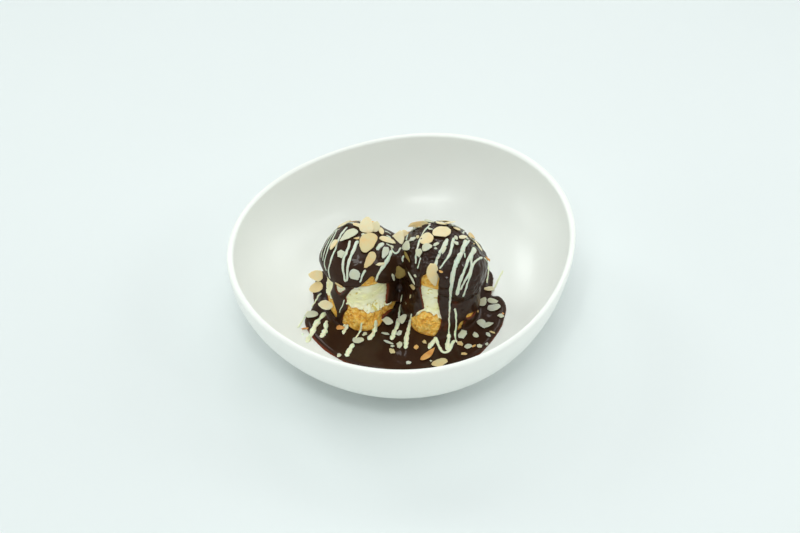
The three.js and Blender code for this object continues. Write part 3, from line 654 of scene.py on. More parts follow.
def grid_faces(rows, columns):
    """Faces of a grid of rows by columns of points, that closes round."""
    r, c = np.meshgrid(np.arange(rows - 1), np.arange(columns), indexing="ij")
    n = (c + 1) % columns
    quads = np.stack([r * columns + c, r * columns + n, (r + 1) * columns + n, (r + 1) * columns + c], -1)
    return quads.reshape(-1, 4).tolist()


def tube_faces(rows, columns):
    """The same with a face at each end."""
    last = (rows - 1) * columns
    return grid_faces(rows, columns) + [list(range(columns))[::-1], list(range(last, last + columns))]


def surface_nets(field, origin, cell):
    """Mesh of the zero level of a sampled field, negative inside: points and quads."""
    inside = field < 0
    shape = np.array(field.shape)
    mixed = np.zeros(shape - 1, dtype=bool)
    first = inside[:-1, :-1, :-1]
    corners = list(np.ndindex(2, 2, 2))
    for i, j, k in corners:
        mixed |= inside[i : shape[0] - 1 + i, j : shape[1] - 1 + j, k : shape[2] - 1 + k] != first
    cells = np.argwhere(mixed)
    values = {c: field[cells[:, 0] + c[0], cells[:, 1] + c[1], cells[:, 2] + c[2]] for c in corners}
    total = np.zeros((len(cells), 3))
    count = np.zeros(len(cells))
    for a in corners:
        for axis in range(3):
            if a[axis]:
                continue
            b = tuple(v + (n == axis) for n, v in enumerate(a))
            crosses = (values[a] < 0) != (values[b] < 0)
            t = values[a] / np.where(crosses, values[a] - values[b], 1)
            point = np.array(a, dtype=float) + np.zeros((len(cells), 3))
            point[:, axis] += t
            total += np.where(crosses[:, None], point, 0)
            count += crosses
    verts = origin + cell * (cells + total / count[:, None])
    index = np.full(mixed.shape, -1, dtype=np.int64)
    index[tuple(cells.T)] = np.arange(len(cells))
    faces = []
    for axis in range(3):
        u, v = (axis + 1) % 3, (axis + 2) % 3
        low = [slice(1, -1)] * 3
        low[axis] = slice(0, -1)
        high = list(low)
        high[axis] = slice(1, None)
        edge = np.argwhere(inside[tuple(low)] != inside[tuple(high)])
        start = edge + [1 if n != axis else 0 for n in range(3)]
        starts_inside = inside[tuple(start.T)]
        ring = []
        for du, dv in ((-1, -1), (0, -1), (0, 0), (-1, 0)):
            cell_at = start.copy()
            cell_at[:, u] += du
            cell_at[:, v] += dv
            ring.append(index[tuple(cell_at.T)])
        quads = np.stack(ring, -1)
        quads[~starts_inside] = quads[~starts_inside][:, ::-1]
        faces.append(quads)
    return verts, np.concatenate(faces)


# Materials

def srgb(*tone):
    """Linear colour from the 0-255 values seen in a picture, none of them near black."""
    return tuple(((v / 255 + 0.055) / 1.055) ** 2.4 for v in tone) + (1.0,)


class Nodes:
    """Short calls for building one material."""

    def __init__(self, name):
        self.material = bpy.data.materials.new(name)
        self.material.use_nodes = True
        self.tree = self.material.node_tree
        self.shader = self.tree.nodes["Principled BSDF"]
        coordinates = self.tree.nodes.new("ShaderNodeTexCoord")
        self.place = coordinates.outputs["Object"]
        self.uv = coordinates.outputs["UV"]

    def node(self, kind, **inputs):
        made = self.tree.nodes.new("ShaderNode" + kind)
        for key, value in inputs.items():
            if key in made.inputs:
                self.feed(made.inputs[key], value)
            else:
                setattr(made, key, value)
        return made

    def feed(self, socket, value):
        if isinstance(value, bpy.types.NodeSocket):
            self.tree.links.new(value, socket)
        else:
            socket.default_value = value

    def rough(self, scale, low, high):
        """Roughness that varies between two values, with no sharp steps."""
        return self.ramp(self.noise(scale), (0.3, low), (0.7, high))

    def noise(self, scale, detail=4.0, rough=0.55, stretch=None):
        vector = self.place
        if stretch:
            vector = self.node("Mapping", Vector=self.place, Scale=stretch).outputs[0]
        made = self.node("TexNoise", Vector=vector, Scale=scale, Detail=detail, Roughness=rough)
        return made.outputs["Fac"]

    def cells(self, scale):
        return self.node("TexVoronoi", Vector=self.place, Scale=scale).outputs["Distance"]

    def ramp(self, value, *stops):
        made = self.node("ValToRGB", Fac=value)
        elements = made.color_ramp.elements
        for n, (at, colour) in enumerate(stops):
            element = elements[n] if n < 2 else elements.new(at)
            element.position = at
            element.color = colour if isinstance(colour, tuple) else (colour, colour, colour, 1)
        return made.outputs["Color"]

    def mix(self, share, a, b):
        made = self.node("Mix", data_type="RGBA")
        self.feed(made.inputs[0], share)
        self.feed(made.inputs[6], a)
        self.feed(made.inputs[7], b)
        return made.outputs[2]

    def math(self, operation, a, b=0.5):
        made = self.node("Math", operation=operation)
        self.feed(made.inputs[0], a)
        self.feed(made.inputs[1], b)
        return made.outputs[0]

    def split_uv(self):
        made = self.node("SeparateXYZ", Vector=self.uv)
        return made.outputs["X"], made.outputs["Y"]

    def bump(self, height, distance, strength=1.0, below=None):
        made = self.node("Bump", Height=height, Distance=distance, Strength=strength)
        if below is not None:
            self.feed(made.inputs["Normal"], below)
        return made.outputs["Normal"]

    def finish(self, **inputs):
        for key, value in inputs.items():
            self.feed(self.shader.inputs[key.replace("_", " ")], value)
        return self.material


def porcelain():
    n = Nodes("porcelain")
    tone = n.mix(n.noise(9, 2), srgb(243, 246, 240), srgb(247, 249, 244))
    waves = n.bump(n.noise(14, 2), 0.0004, 0.25)
    rough = n.ramp(n.noise(60, 3), (0.3, 0.3), (0.7, 0.36))
    return n.finish(Base_Color=tone, Roughness=rough, Normal=waves, Coat_Weight=0.16, Coat_Roughness=0.12)


def chocolate():
    n = Nodes("chocolate_sauce")
    thin, craggy = n.split_uv()
    body = n.mix(n.noise(90, 5), srgb(45, 27, 17), srgb(61, 39, 25))
    body = n.mix(n.math("MULTIPLY", craggy, 0.7), body, srgb(42, 23, 13))
    tone = n.mix(thin, body, srgb(112, 50, 26))
    rough = n.ramp(n.noise(70, 4), (0.35, 0.29), (0.65, 0.38))
    lumps = n.math("MULTIPLY", n.noise(210, 1), n.math("ADD", craggy, 0.12))
    skin = n.bump(lumps, 0.0012, 0.9)
    skin = n.bump(n.noise(60, 2), 0.0015, 0.3, skin)
    wet = n.ramp(craggy, (0.0, 0.3), (1.0, 0.5))
    return n.finish(
        Base_Color=tone, Roughness=rough, Normal=skin, Specular_IOR_Level=0.05,
        Coat_Weight=wet, Coat_Roughness=0.03, Coat_Normal=skin,
    )


def choux():
    n = Nodes("choux_crumb")
    dark, middle, light = srgb(232, 160, 46), srgb(247, 190, 76), srgb(254, 224, 140)
    lit_value, crust = n.split_uv()
    crumb = n.ramp(n.noise(420, 6, 0.7), (0.32, dark), (0.5, middle), (0.68, light))
    # Painted shade darkens the crumb in pores and folds, and painted highlight lightens it on ridges, from the
    # first looks value.
    crumb = n.mix(n.ramp(lit_value, (0.1, 0.8), (0.5, 0.0)), crumb, srgb(208, 138, 38))
    crumb = n.mix(n.ramp(lit_value, (0.7, 0.0), (0.95, 0.8)), crumb, light)
    tone = n.mix(n.math("MULTIPLY", crust, 0.85), crumb, srgb(214, 138, 44))
    pores = n.bump(n.cells(520), 0.0012, 0.6)
    grain = n.bump(n.noise(900, 6, 0.7), 0.0006, 0.6, pores)
    return n.finish(
        Base_Color=tone, Roughness=n.rough(300, 0.5, 0.8), Normal=grain,
        Subsurface_Weight=0.12, Subsurface_Scale=0.002, Subsurface_Radius=(1.0, 0.5, 0.2),
    )


def ice_cream():
    n = Nodes("vanilla_ice_cream")
    lit_value, _ = n.split_uv()
    tone = n.ramp(n.noise(120, 4), (0.3, srgb(248, 244, 186)), (0.7, srgb(253, 251, 220)))
    # Painted shade: the ice cream turns a deeper yellow in its pits and cracks, from the first looks value.
    tone = n.mix(n.ramp(lit_value, (0.1, 1.0), (0.45, 0.0)), tone, srgb(230, 214, 124))
    fine = n.bump(n.noise(420, 5), 0.0006, 0.5)
    drawn = n.bump(n.noise(140, 3, stretch=(1, 1, 3.0)), 0.0009, 0.4, fine)
    return n.finish(
        Base_Color=tone, Roughness=n.rough(200, 0.3, 0.5), Normal=drawn,
        Subsurface_Weight=0.35, Subsurface_Scale=0.004, Subsurface_Radius=(1.0, 0.85, 0.5),
    )


def white_chocolate():
    n = Nodes("white_chocolate")
    height = n.node("SeparateXYZ", Vector=n.place).outputs["Z"]
    # Painted shade: the white chocolate is greyer higher up, on the buns, than in the pool.
    bun_shade = n.ramp(n.math("MULTIPLY", height, 20.0), (0.3, 0.0), (0.7, 1.0))
    tone = n.mix(bun_shade, srgb(242, 246, 208), srgb(208, 216, 199))
    tone = n.mix(n.math("MULTIPLY", n.noise(200, 3), 0.5), tone, srgb(234, 241, 212))
    skin = n.bump(n.noise(500, 3), 0.0004, 0.4)
    return n.finish(
        Base_Color=tone, Roughness=n.rough(300, 0.3, 0.45), Normal=skin,
        Subsurface_Weight=0.2, Subsurface_Scale=0.001,
    )


def almond(kind):
    n = Nodes(kind)
    *tones, glow = FLAKE_TONES[kind]
    body, rim, spot = (srgb(*tone) for tone in tones)
    out, tint = n.split_uv()
    blotch = n.math("ADD", n.noise(150, 3), n.math("MULTIPLY", tint, 0.3))
    tone = n.mix(n.ramp(blotch, (0.5, 0.0), (0.8, 1.0)), body, spot)
    edge = n.math("ADD", out, n.math("MULTIPLY", n.noise(300, 3), 0.4))
    tone = n.mix(n.ramp(edge, (1.1, 0.0), (1.25, 1.0)), tone, rim)
    veins = n.bump(n.noise(420, 4, stretch=(1, 1, 0.4)), 0.0004, 0.5)
    grain = n.bump(n.noise(1400, 3), 0.0002, 0.4, veins)
    return n.finish(
        Base_Color=tone, Roughness=n.rough(400, 0.42, 0.6), Normal=grain,
        Subsurface_Weight=glow, Subsurface_Scale=0.0012, Subsurface_Radius=(1.0, 0.9, 0.6),
    )


def table_top():
    n = Nodes("pale_table")
    tone = n.mix(n.noise(3, 2), srgb(228, 234, 234), srgb(231, 237, 237))
    return n.finish(Base_Color=tone, Roughness=0.6, Normal=n.bump(n.noise(300), 0.0002, 0.1))


# Bowl

def wall(radius0, height0, radius1, power, steps):
    """Profile of a wall that curves up from a foot or floor to the lip."""
    turn = np.linspace(0, math.pi / 2, steps)
    out = np.sin(turn) ** (2 / power)
    up = 1 - np.cos(turn) ** (2 / power)
    return [(lerp(radius0, radius1, o), lerp(height0, LIP_HEIGHT, u)) for o, u in zip(out, up)]


def bowl():
    half = LIP / 2
    bends = np.linspace(0, math.pi, 15)[1:-1]
    lip = [(RIM_RADIUS - half + half * math.cos(a), LIP_HEIGHT + half * math.sin(a)) for a in bends]
    ring = FOOT_RADIUS - FOOT_WIDTH
    foot = [
        (0.01, RECESS), (20, RECESS), (ring - 2.0, RECESS), (ring - 0.6, RECESS - 0.5), (ring + 0.1, 0.15),
        (ring + 0.7, 0), (FOOT_RADIUS - 1.2, 0), (FOOT_RADIUS - 0.4, 0.3), (FOOT_RADIUS - 0.1, 1.2),
    ]
    outside = wall(FOOT_RADIUS, FOOT_HEIGHT, RIM_RADIUS, 2, 40)
    inside = wall(FLOOR_RADIUS, FLOOR_HEIGHT, INNER_RIM, FLOOR_CURVE, 46)[::-1]
    floor = [(r, FLOOR_HEIGHT) for r in np.linspace(FLOOR_RADIUS, 0.01, 8)[1:]]
    profile = foot + outside + lip + inside + floor
    angle = all_round(BOWL_COLUMNS)
    rows = []
    for radius, height in profile:
        x, y = bowl_place(radius, angle)
        rows.append(np.stack([x, y, np.full_like(x, height)], -1))
    faces = tube_faces(len(profile), BOWL_COLUMNS)
    return add_mesh("glazed_bowl", np.concatenate(rows), faces, porcelain())


# Choux and ice cream

def ring_piece(name, rows, material):
    """A closed piece from rings of points and their two looks values, from its bottom to its top."""
    columns = len(rows[0][0])
    verts = np.concatenate([points for points, _ in rows])
    uv = np.concatenate([np.broadcast_to(looks, (columns, 2)) for _, looks in rows])
    faces = grid_faces(len(rows), columns)
    ends = []
    for ring, flip in ((rows[0], True), (rows[-1], False)):
        ends.append(ring[0].mean(0))
        hub = len(verts) + len(ends) - 1
        start = 0 if flip else (len(rows) - 1) * columns
        for c in range(columns):
            a, b = start + c, start + (c + 1) % columns
            faces.append([b, a, hub] if flip else [a, b, hub])
    return add_mesh(name, np.vstack([verts, ends]), faces, material, np.vstack([uv, [(0.5, 0), (0.5, 0)]]))


def bubbles(points, cell, seed):
    """Distance to the nearest of points strewn about a cell apart, as a share of the cell."""
    q = np.asarray(points, dtype=float) / cell + 1000
    corner = np.floor(q).astype(np.int64)
    best = np.full(q.shape[:-1], 9.0)
    for shift in np.ndindex(3, 3, 3):
        at = corner + shift - 1
        jitter = [0.5 + 0.45 * scatter(*np.moveaxis(at + seed + 37 * n, -1, 0)) for n in range(3)]
        best = np.minimum(best, np.linalg.norm(at + np.stack(jitter, -1) - q, axis=-1))
    return best


def crumb_relief_and_light(points):
    """Depth of torn crumb in millimetres, and painted light for its colour, from 0 for painted shade in a pore
    or fold to 1 for a painted highlight on a ridge.
    """
    coarse = 0.8 * noise(points, 6.5, 11) + 0.45 * noise(points, 2.8, 12)
    large = 1 - smoothstep(bubbles(points * [1, 1, 1.25], 3.1, 50), 0.15, 0.7)
    small = 1 - smoothstep(bubbles(points, 1.5, 60), 0.1, 0.6)
    crossing = noise(points * [1, 1, 1.4], 5.5, 61) + 0.35 * noise(points, 1.8, 62)
    folds = 1 - smoothstep(np.abs(crossing), 0.02, 0.2)
    open_part = smoothstep(noise(points, 5.0, 14), -0.4, 0.3)
    depth = coarse - open_part * (0.6 * large + 0.25 * small) - 0.7 * folds
    # Painted light: low in pores and folds for painted shade, high elsewhere for painted highlight.
    lit_share = 0.75 - open_part * (0.45 * large + 0.2 * small) - 0.4 * folds + 0.2 * noise(points, 1.0, 15)
    return depth, np.clip(lit_share, 0, 1)


def seam_height(bun, angle):
    """Height of the edge between choux base and ice cream."""
    return BASE_TOP + np.interp(np.degrees(angle + math.pi) % 360 - 180, *bun["seam"])


def drawn_in(points, middle, inset):
    """Points moved towards a middle, to inset times their distance from it."""
    hub = np.stack(middle, -1)
    return hub + (points - hub) * inset


def choux_base(bun, material):
    angle = all_round(BUN_COLUMNS)
    top = seam_height(bun, angle) - 0.3
    rows = []
    side = np.linspace(0, 1, 52)
    for inset, shares in ((0.75, [0]), (0.97, [0]), (1.0, side), (0.93, [1.005]), (0.8, [0.99])):
        for share in shares:
            z = lerp(BASE_BOTTOM, top, share)
            raw = bun_point(bun, z, angle)
            # The second value is painted light for the material: shade in pores and folds, highlight on ridges.
            depth, crumb_lit = crumb_relief_and_light(raw)
            ease = smoothstep(z, BASE_BOTTOM + 1, BASE_BOTTOM + 4)
            rounding = 1.3 * smoothstep(share, 0.7, 1) ** 2
            points = bun_point(bun, z, angle, (depth - 0.2) * ease - rounding)
            points = drawn_in(points, [*centre(bun, z), z], inset)
            points[:, 2] = z + 0.5 * noise(raw, 3.0, 16) * ease
            ragged = z + 0.8 * noise(raw, 5.0, 17)
            crust = 1 - smoothstep(ragged, BASE_BOTTOM + 1.5, BASE_BOTTOM + 5.0)
            rows.append((points, np.stack([crumb_lit, crust], -1)))
    return ring_piece("choux_base_crumb_" + bun["name"], rows, material)


def choux_cap(bun, material):
    angle = all_round(BUN_COLUMNS)
    rows = []
    side = list(np.linspace(CAP_BOTTOM, bun["waist"], 10))
    bends = np.linspace(0, math.pi / 2, 46)[1:-1]
    side += [bun["waist"] + bun["dome"] * math.sin(t) for t in bends]
    for inset, heights in ((0.7, [CAP_BOTTOM]), (0.95, [CAP_BOTTOM]), (1.0, side)):
        for z in heights:
            level = np.full_like(angle, z)
            raw = bun_point(bun, level, angle)
            # The second value is painted light for the material: shade in pores and folds, highlight on ridges.
            depth, crumb_lit = crumb_relief_and_light(raw)
            points = bun_point(bun, level, angle, 0.55 * (depth - 0.6))
            points = drawn_in(points, [*centre(bun, level), level], inset)
            points[:, 2] += 0.7 * noise(raw, 4.0, 18) * (1 - smoothstep(z, CAP_BOTTOM, bun["waist"]))
            rows.append((points, np.stack([crumb_lit, 0 * angle], -1)))
    return ring_piece("choux_cap_crumb_" + bun["name"], rows, material)


def ice_cream_scoop(bun, material):
    angle = all_round(BUN_COLUMNS)
    seam = seam_height(bun, angle)
    rows = []
    top = CAP_BOTTOM - 0.3
    side = np.linspace(0, 1, 56)
    for inset, shares in ((0.7, [0]), (0.94, [0]), (1.0, side), (0.95, [1]), (0.7, [1])):
        for s in shares:
            raw = bun_point(bun, lerp(seam, top, s), angle)
            drip = 1.0 + 1.3 * noise(raw * [1, 1, 0], 4.0, 21) + 1.0 * noise(raw * [1, 1, 0], 1.5, 22)
            z = lerp(seam - np.clip(drip, -0.8, 3) * (inset == 1.0), top, s)
            raw[:, 2] = z
            ridges = 0.5 * noise(raw * [1, 1, 0.6], 6.0, 23)
            ridges = ridges + 0.25 * noise(raw * [0.6, 0.6, 1.6], 2.4, 24)
            crossing = noise(raw * [0.6, 0.6, 1.2], 6.5, 27) + 0.3 * noise(raw, 1.4, 28)
            torn = 1 - smoothstep(np.abs(crossing), 0.02, 0.16)
            torn = torn * smoothstep(noise(raw, 7.0, 29), -0.15, 0.25)
            pits = np.maximum(torn, smoothstep(noise(raw * [0.8, 0.8, 1.5], 1.8, 25), 0.5, 0.8))
            ragged = 0.5 * noise(raw, 1.1, 26) * (1 - 0.8 * smoothstep(s, 0.0, 0.35))
            foot = 1.5 * (1 - smoothstep(s, 0.0, 0.16)) * smoothstep(s, -0.02, 0.05)
            points = bun_point(bun, z, angle, ridges - 0.8 * pits + ragged + foot - 0.6)
            points = drawn_in(points, [*centre(bun, lerp(seam, top, s)), z], inset)
            # Painted shade for the material, low in pits and cracks.
            lit_share = np.clip(0.6 + 0.3 * ridges - 0.6 * pits, 0, 1)
            rows.append((points, np.stack([lit_share, 0 * angle], -1)))
    return ring_piece("ice_cream_scoop_" + bun["name"], rows, material)


# Sauce

SAUCE_LOW = np.array([-74.0, -74.0, FLOOR_HEIGHT - 1.2])
SAUCE_HIGH = np.array([76.0, 46.0, 74.0])
SUNK_IN_BUN = 0.8  # how far the sauce reaches into the food under it
SUNK_IN_BOWL = 0.3


def sauce():
    count = np.ceil((SAUCE_HIGH - SAUCE_LOW) / VOXEL).astype(int)
    xs, ys, zs = (low + VOXEL * np.arange(n) for low, n in zip(SAUCE_LOW, count))
    plan_x, plan_y = np.meshgrid(xs, ys, indexing="ij")
    top = pool_top(plan_x, plan_y)
    sheet = floor_height(plan_x, plan_y)
    field = np.empty(count, dtype=np.float32)
    for k, z in enumerate(zs):
        points = np.stack([plan_x, plan_y, np.full_like(plan_x, z)], -1)
        level = sauce_distance(points, top)
        for bun in BUNS:
            level = np.maximum(level, -(bun_distance(bun, points)[0] + SUNK_IN_BUN))
        field[:, :, k] = np.maximum(level, sheet - SUNK_IN_BOWL - z)
    field[[0, -1]] = 1
    field[:, [0, -1]] = 1
    field[:, :, [0, -1]] = 1
    verts, faces = surface_nets(field, SAUCE_LOW, VOXEL)
    thin = np.ones(len(verts))
    for bun in BUNS:
        outside, angle = bun_distance(bun, verts)
        thick = coat_thickness(bun, angle, verts[:, 2])
        covers = (outside < 4) & (verts[:, 2] > 14)
        thin = np.where(covers, np.minimum(thin, smoothstep(thick, 0.2, 0.95)), thin)
    rim = -polygon_distance(verts[:, 0], verts[:, 1], POOL_SHAPE)
    thin = np.minimum(thin, smoothstep(rim, 0.0, 0.9))
    craggy = smoothstep(verts[:, 0], -4, 6) * smoothstep(verts[:, 2], 16, 30)
    made = add_mesh("chocolate_sauce", verts, faces, chocolate(), np.stack([1 - thin, craggy], -1))
    fewer = made.modifiers.new("fewer", "DECIMATE")
    fewer.ratio = min(1.0, SAUCE_TRIANGLES / (2 * len(faces)))
    return made


# White chocolate and almonds

def spline(points, spacing):
    """Points along a smooth curve through the given ones, about spacing apart."""
    points = np.asarray(points, dtype=float)
    padded = np.vstack([2 * points[0] - points[1], points, 2 * points[-1] - points[-2]])
    curve = []
    for i in range(len(points) - 1):
        p0, p1, p2, p3 = padded[i : i + 4]
        steps = max(2, int(np.linalg.norm(p2 - p1) / spacing))
        for t in np.arange(steps) / steps:
            bend = (2 * p0 - 5 * p1 + 4 * p2 - p3) * t**2
            curve.append(0.5 * (2 * p1 + (p2 - p0) * t + bend + (3 * p1 - p0 - 3 * p2 + p3) * t**3))
    curve.append(points[-1])
    return np.array(curve)


RIBBON_SIDES = 10


def ribbon(path, normals, width0, width1, seed):
    """A stripe of white chocolate along a path, half sunk: points and faces."""
    tangent = np.gradient(path, axis=0)
    tangent /= np.linalg.norm(tangent, axis=1, keepdims=True) + 1e-9
    across = np.cross(tangent, normals)
    across /= np.linalg.norm(across, axis=1, keepdims=True) + 1e-9
    along = np.concatenate([[0], np.cumsum(np.linalg.norm(np.diff(path, axis=0), axis=1))])
    half = 0.5 * lerp(width0, width1, along / along[-1])
    in_pool = 1 - smoothstep(path[:, 2], 13, 18)
    half = half * lerp(1.2, 1.4, in_pool)
    wavy = 0.26 * noise(path, 3.0, seed)
    half = half * (1 + wavy + lerp(0.14, 0.36, in_pool) * noise(path, 1.3, seed + 90))
    path = path + across * (0.3 * noise(path, 2.2, seed + 180))[:, None]
    nearest_end = np.minimum(along, along[-1] - along)
    half = half * np.sqrt(np.clip(nearest_end / (0.9 * half) + 0.02, 0, 1))
    turn = all_round(RIBBON_SIDES)
    rise = half * lerp(0.36, 0.5, in_pool)
    rings = (
        path[:, None] + across[:, None] * (half[:, None] * np.cos(turn))[..., None]
        + normals[:, None] * (rise[:, None] * np.sin(turn) + 0.12)[..., None]
    )
    return rings.reshape(-1, 3), tube_faces(len(path), RIBBON_SIDES)


def smoothed(rows):
    """Points or normals along a path, evened out."""
    for _ in range(3):
        inner = 0.25 * rows[:-2] + 0.5 * rows[1:-1] + 0.25 * rows[2:]
        rows = np.vstack([rows[:1], inner, rows[-1:]])
    return rows


STRIPE_JUMP = 3.0  # a stripe parts where it would cross this much open air
STRIPE_BACK = 30.0  # beyond this it would lie on the bowl behind the buns, and is left out


def back_places(side, azimuth, height):
    """Points on the sauce of the bun on that side."""
    bun = LEFT if side == "left" else RIGHT
    points = bun_point(bun, np.array(height, dtype=float), np.radians(azimuth), bun["coat"])
    for _ in range(4):
        points = points - 0.8 * top_distance(points)[:, None] * gradient(top_distance, points)
    return points


def drizzle():
    paths = []
    for width0, width1, pixels in STRIPES:
        path = cast(top_distance, spline(pixels, 0.9))
        steps = np.linalg.norm(np.diff(path, axis=0), axis=1)
        cuts = [0, *(np.flatnonzero(steps > STRIPE_JUMP) + 1), len(path)]
        for start, end in zip(cuts, cuts[1:]):
            if end - start > 2 and path[start:end, 1].mean() < STRIPE_BACK:
                ends = [width0 + (width1 - width0) * mark / len(path) for mark in (start, end)]
                paths.append((*ends, path[start:end]))
    for side, width0, width1, marks in BACK_STRIPES:
        paths.append((width0, width1, back_places(side, *spline(marks, 1.2).T)))
    pieces = []
    for n, (width0, width1, path) in enumerate(paths):
        path = smoothed(path)
        normals = smoothed(gradient(top_distance, path, 1.2))
        pieces.append(ribbon(path, normals, width0, width1, 30 + n))
    return add_pieces("white_chocolate_drizzle", pieces, white_chocolate())


FLAKE_SIDES = 24
FLAKE_THICKNESS = 0.6
# Rings of a flake from the middle of its face to that of its back: shares of its outline and thickness
FLAKE_RINGS = (
    (0.0, 0.5), (0.5, 0.5), (0.88, 0.5), (0.96, 0.44), (1.0, 0.1), (0.985, -0.3), (0.9, -0.48), (0.0, -0.5),
)
# Tones of the body, rim and spots of each kind, and how much light goes through it
FLAKE_TONES = {
    TAN: ((210, 196, 147), (227, 217, 177), (222, 186, 124), 0.2),
    PALE: ((202, 206, 188), (224, 225, 204), (208, 209, 180), 0.3),
    CREAM: ((228, 219, 182), (237, 230, 198), (236, 212, 160), 0.3),
    SHADED: ((140, 120, 52), (176, 160, 96), (122, 92, 36), 0.2),
    TOASTED: ((232, 182, 108), (238, 212, 148), (212, 142, 68), 0.2),
}
WHOLE_FLAKE = 7.5  # length in millimetres over which a flake keeps the almond's own outline


def flake_outline(length, width, random):
    """Outline of a slice of almond, with a round and a pointed end, or of a broken piece of one."""
    turn = all_round(FLAKE_SIDES)
    if length > WHOLE_FLAKE:
        x, y = np.cos(turn), np.sin(turn) * (1.1 - 0.32 * np.cos(turn))
    else:
        corners = random.integers(5, 8)
        at = (np.arange(corners) + random.uniform(-0.3, 0.3, corners)) * 2 * math.pi / corners
        reach = random.uniform(0.82, 1.12, corners)
        t = turn / (2 * math.pi) * corners
        low = t.astype(int)
        t = smoothstep(t - low, 0.02, 0.98)
        high = (low + 1) % corners
        x = lerp(reach[low] * np.cos(at[low]), reach[high] * np.cos(at[high]), t)
        y = lerp(reach[low] * np.sin(at[low]), reach[high] * np.sin(at[high]), t)
    outline = np.stack([0.5 * length * x, 0.5 * width * y], -1)
    ragged = 1 + 0.035 * np.sin(3 * turn + random.uniform(0, 6)) + 0.03 * random.normal(size=FLAKE_SIDES)
    outline = outline * ragged[:, None]
    if length > WHOLE_FLAKE and random.random() < 0.5:
        facing = random.uniform(0, 2 * math.pi)
        way = np.array([math.cos(facing) / length, math.sin(facing) / width]) * 2
        over = np.clip(outline @ way - random.uniform(0.6, 0.85), 0, None)
        outline = outline - over[:, None] * way / (way @ way)
    return outline


def flake(length, width, random):
    """One slice of almond round its middle, its long way along X: points, faces and looks values."""
    outline = flake_outline(length, width, random)
    bend = random.uniform(-0.008, 0.014)
    twist = random.uniform(-0.02, 0.02)
    tint = random.random()
    points, looks = [], []
    for share, level in FLAKE_RINGS:
        plan = outline * share
        x, y = plan.T
        height = level * FLAKE_THICKNESS - bend * x**2 + twist * x * y
        points.append(np.column_stack([plan, height]))
        looks.append(np.column_stack([np.full(FLAKE_SIDES, share), np.full(FLAKE_SIDES, tint)]))
    return np.concatenate(points), grid_faces(len(FLAKE_RINGS), FLAKE_SIDES), np.concatenate(looks)


def place_flake(middle, long_way, face, length, width, random):
    """A flake with its middle, its long way and the way its face looks."""
    points, faces, looks = flake(length, width, random)
    long_way = long_way / np.linalg.norm(long_way)
    side = np.cross(face, long_way)
    side = side / np.linalg.norm(side)
    face = np.cross(long_way, side)
    roll = random.normal(0, 0.1)
    c, s = math.cos(roll), math.sin(roll)
    face, side = face * c + side * s, side * c - face * s
    return middle + points[:, :1] * long_way + points[:, 1:2] * side + points[:, 2:3] * face, faces, looks


STANDING_LEAN = 0.25  # how far a standing flake leans away, as a share of the length seen of it
LYING_STRETCH = 1.7  # a lying flake is at most this much longer than it looks


def seen_flake(row, anchor, normal, ends, random):
    """A flake between two pixels, lying on the surface, or standing up from it and facing the camera."""
    u0, v0, u1, v1, width, _, *stands = row
    apart = anchor - CAMERA_PLACE
    scale = np.linalg.norm(apart) / (CAMERA_LENS / SENSOR * FRAME[0])
    sight = apart / np.linalg.norm(apart)
    seen = ((u1 - u0) * np.array([1.0, 0, 0]) + (v0 - v1) * CAMERA_UP) * scale
    if stands:
        back = STANDING_LEAN * np.linalg.norm(seen) * sight
        middle = anchor + 0.45 * seen + 0.5 * back
        return place_flake(middle, stands[0] * (seen + back), -sight, np.linalg.norm(seen), width, random)
    flat = seen - sight * (seen @ normal) / (sight @ normal)
    length = min(np.linalg.norm(flat), LYING_STRETCH * np.linalg.norm(seen))
    tip = 0.5 * length * random.uniform(0, 0.12)
    flat = flat / np.linalg.norm(flat) * length + normal * 2 * tip
    rests = [(end - anchor) @ normal for end in ends if np.linalg.norm(end - anchor) < length]
    lift = 0.25 + 0.04 * length + tip + np.clip(max(rests, default=0), 0, 3)
    return place_flake(anchor + normal * lift, flat, normal, length, width, random)


def back_flake(row, random):
    """A flake on the back of a bun, turned from level, and lifted where lumps would cover it."""
    side, azimuth, height, length, width, turn, _ = row
    point = back_places(side, [azimuth], [height])
    normal = gradient(top_distance, point, 2.0)[0]
    level = np.cross([0, 0, 1.0], normal)
    level /= np.linalg.norm(level)
    turn = math.radians(turn)
    way = level * math.cos(turn) + np.cross(normal, level) * math.sin(turn)
    points, quads, looks = place_flake(point[0] + 0.3 * normal, way, normal, length, width, random)
    return points + normal * np.clip(-top_distance(points).min(), 0, 2.5), quads, looks


def almonds():
    """One object for each kind of flake."""
    random = np.random.default_rng(7)
    starts = cast(top_distance, [row[:2] for row in FLAKES])
    ends = cast(top_distance, [row[2:4] for row in FLAKES])
    roots = cast(food_distance, [row[:2] for row in FLAKES])
    middles = cast(top_distance, [((row[0] + row[2]) / 2, (row[1] + row[3]) / 2) for row in FLAKES])
    bun_shade = food_distance(starts) < 5
    placed = {kind: [] for kind in FLAKE_TONES}
    anchors = []
    for row, start, root, middle, near in zip(FLAKES, starts, roots, middles, bun_shade):
        anchors.append((start if near else root) if row[6:] else middle)
    normals = gradient(top_distance, np.array(anchors), 2.0)
    for row, anchor, normal, start, end in zip(FLAKES, anchors, normals, starts, ends):
        placed[row[5]].append(seen_flake(row, anchor, normal, (start, end), random))
    for row in BACK_FLAKES:
        placed[row[6]].append(back_flake(row, random))
    return [add_pieces(kind + "_flakes", pieces, almond(kind)) for kind, pieces in placed.items()]


# The object

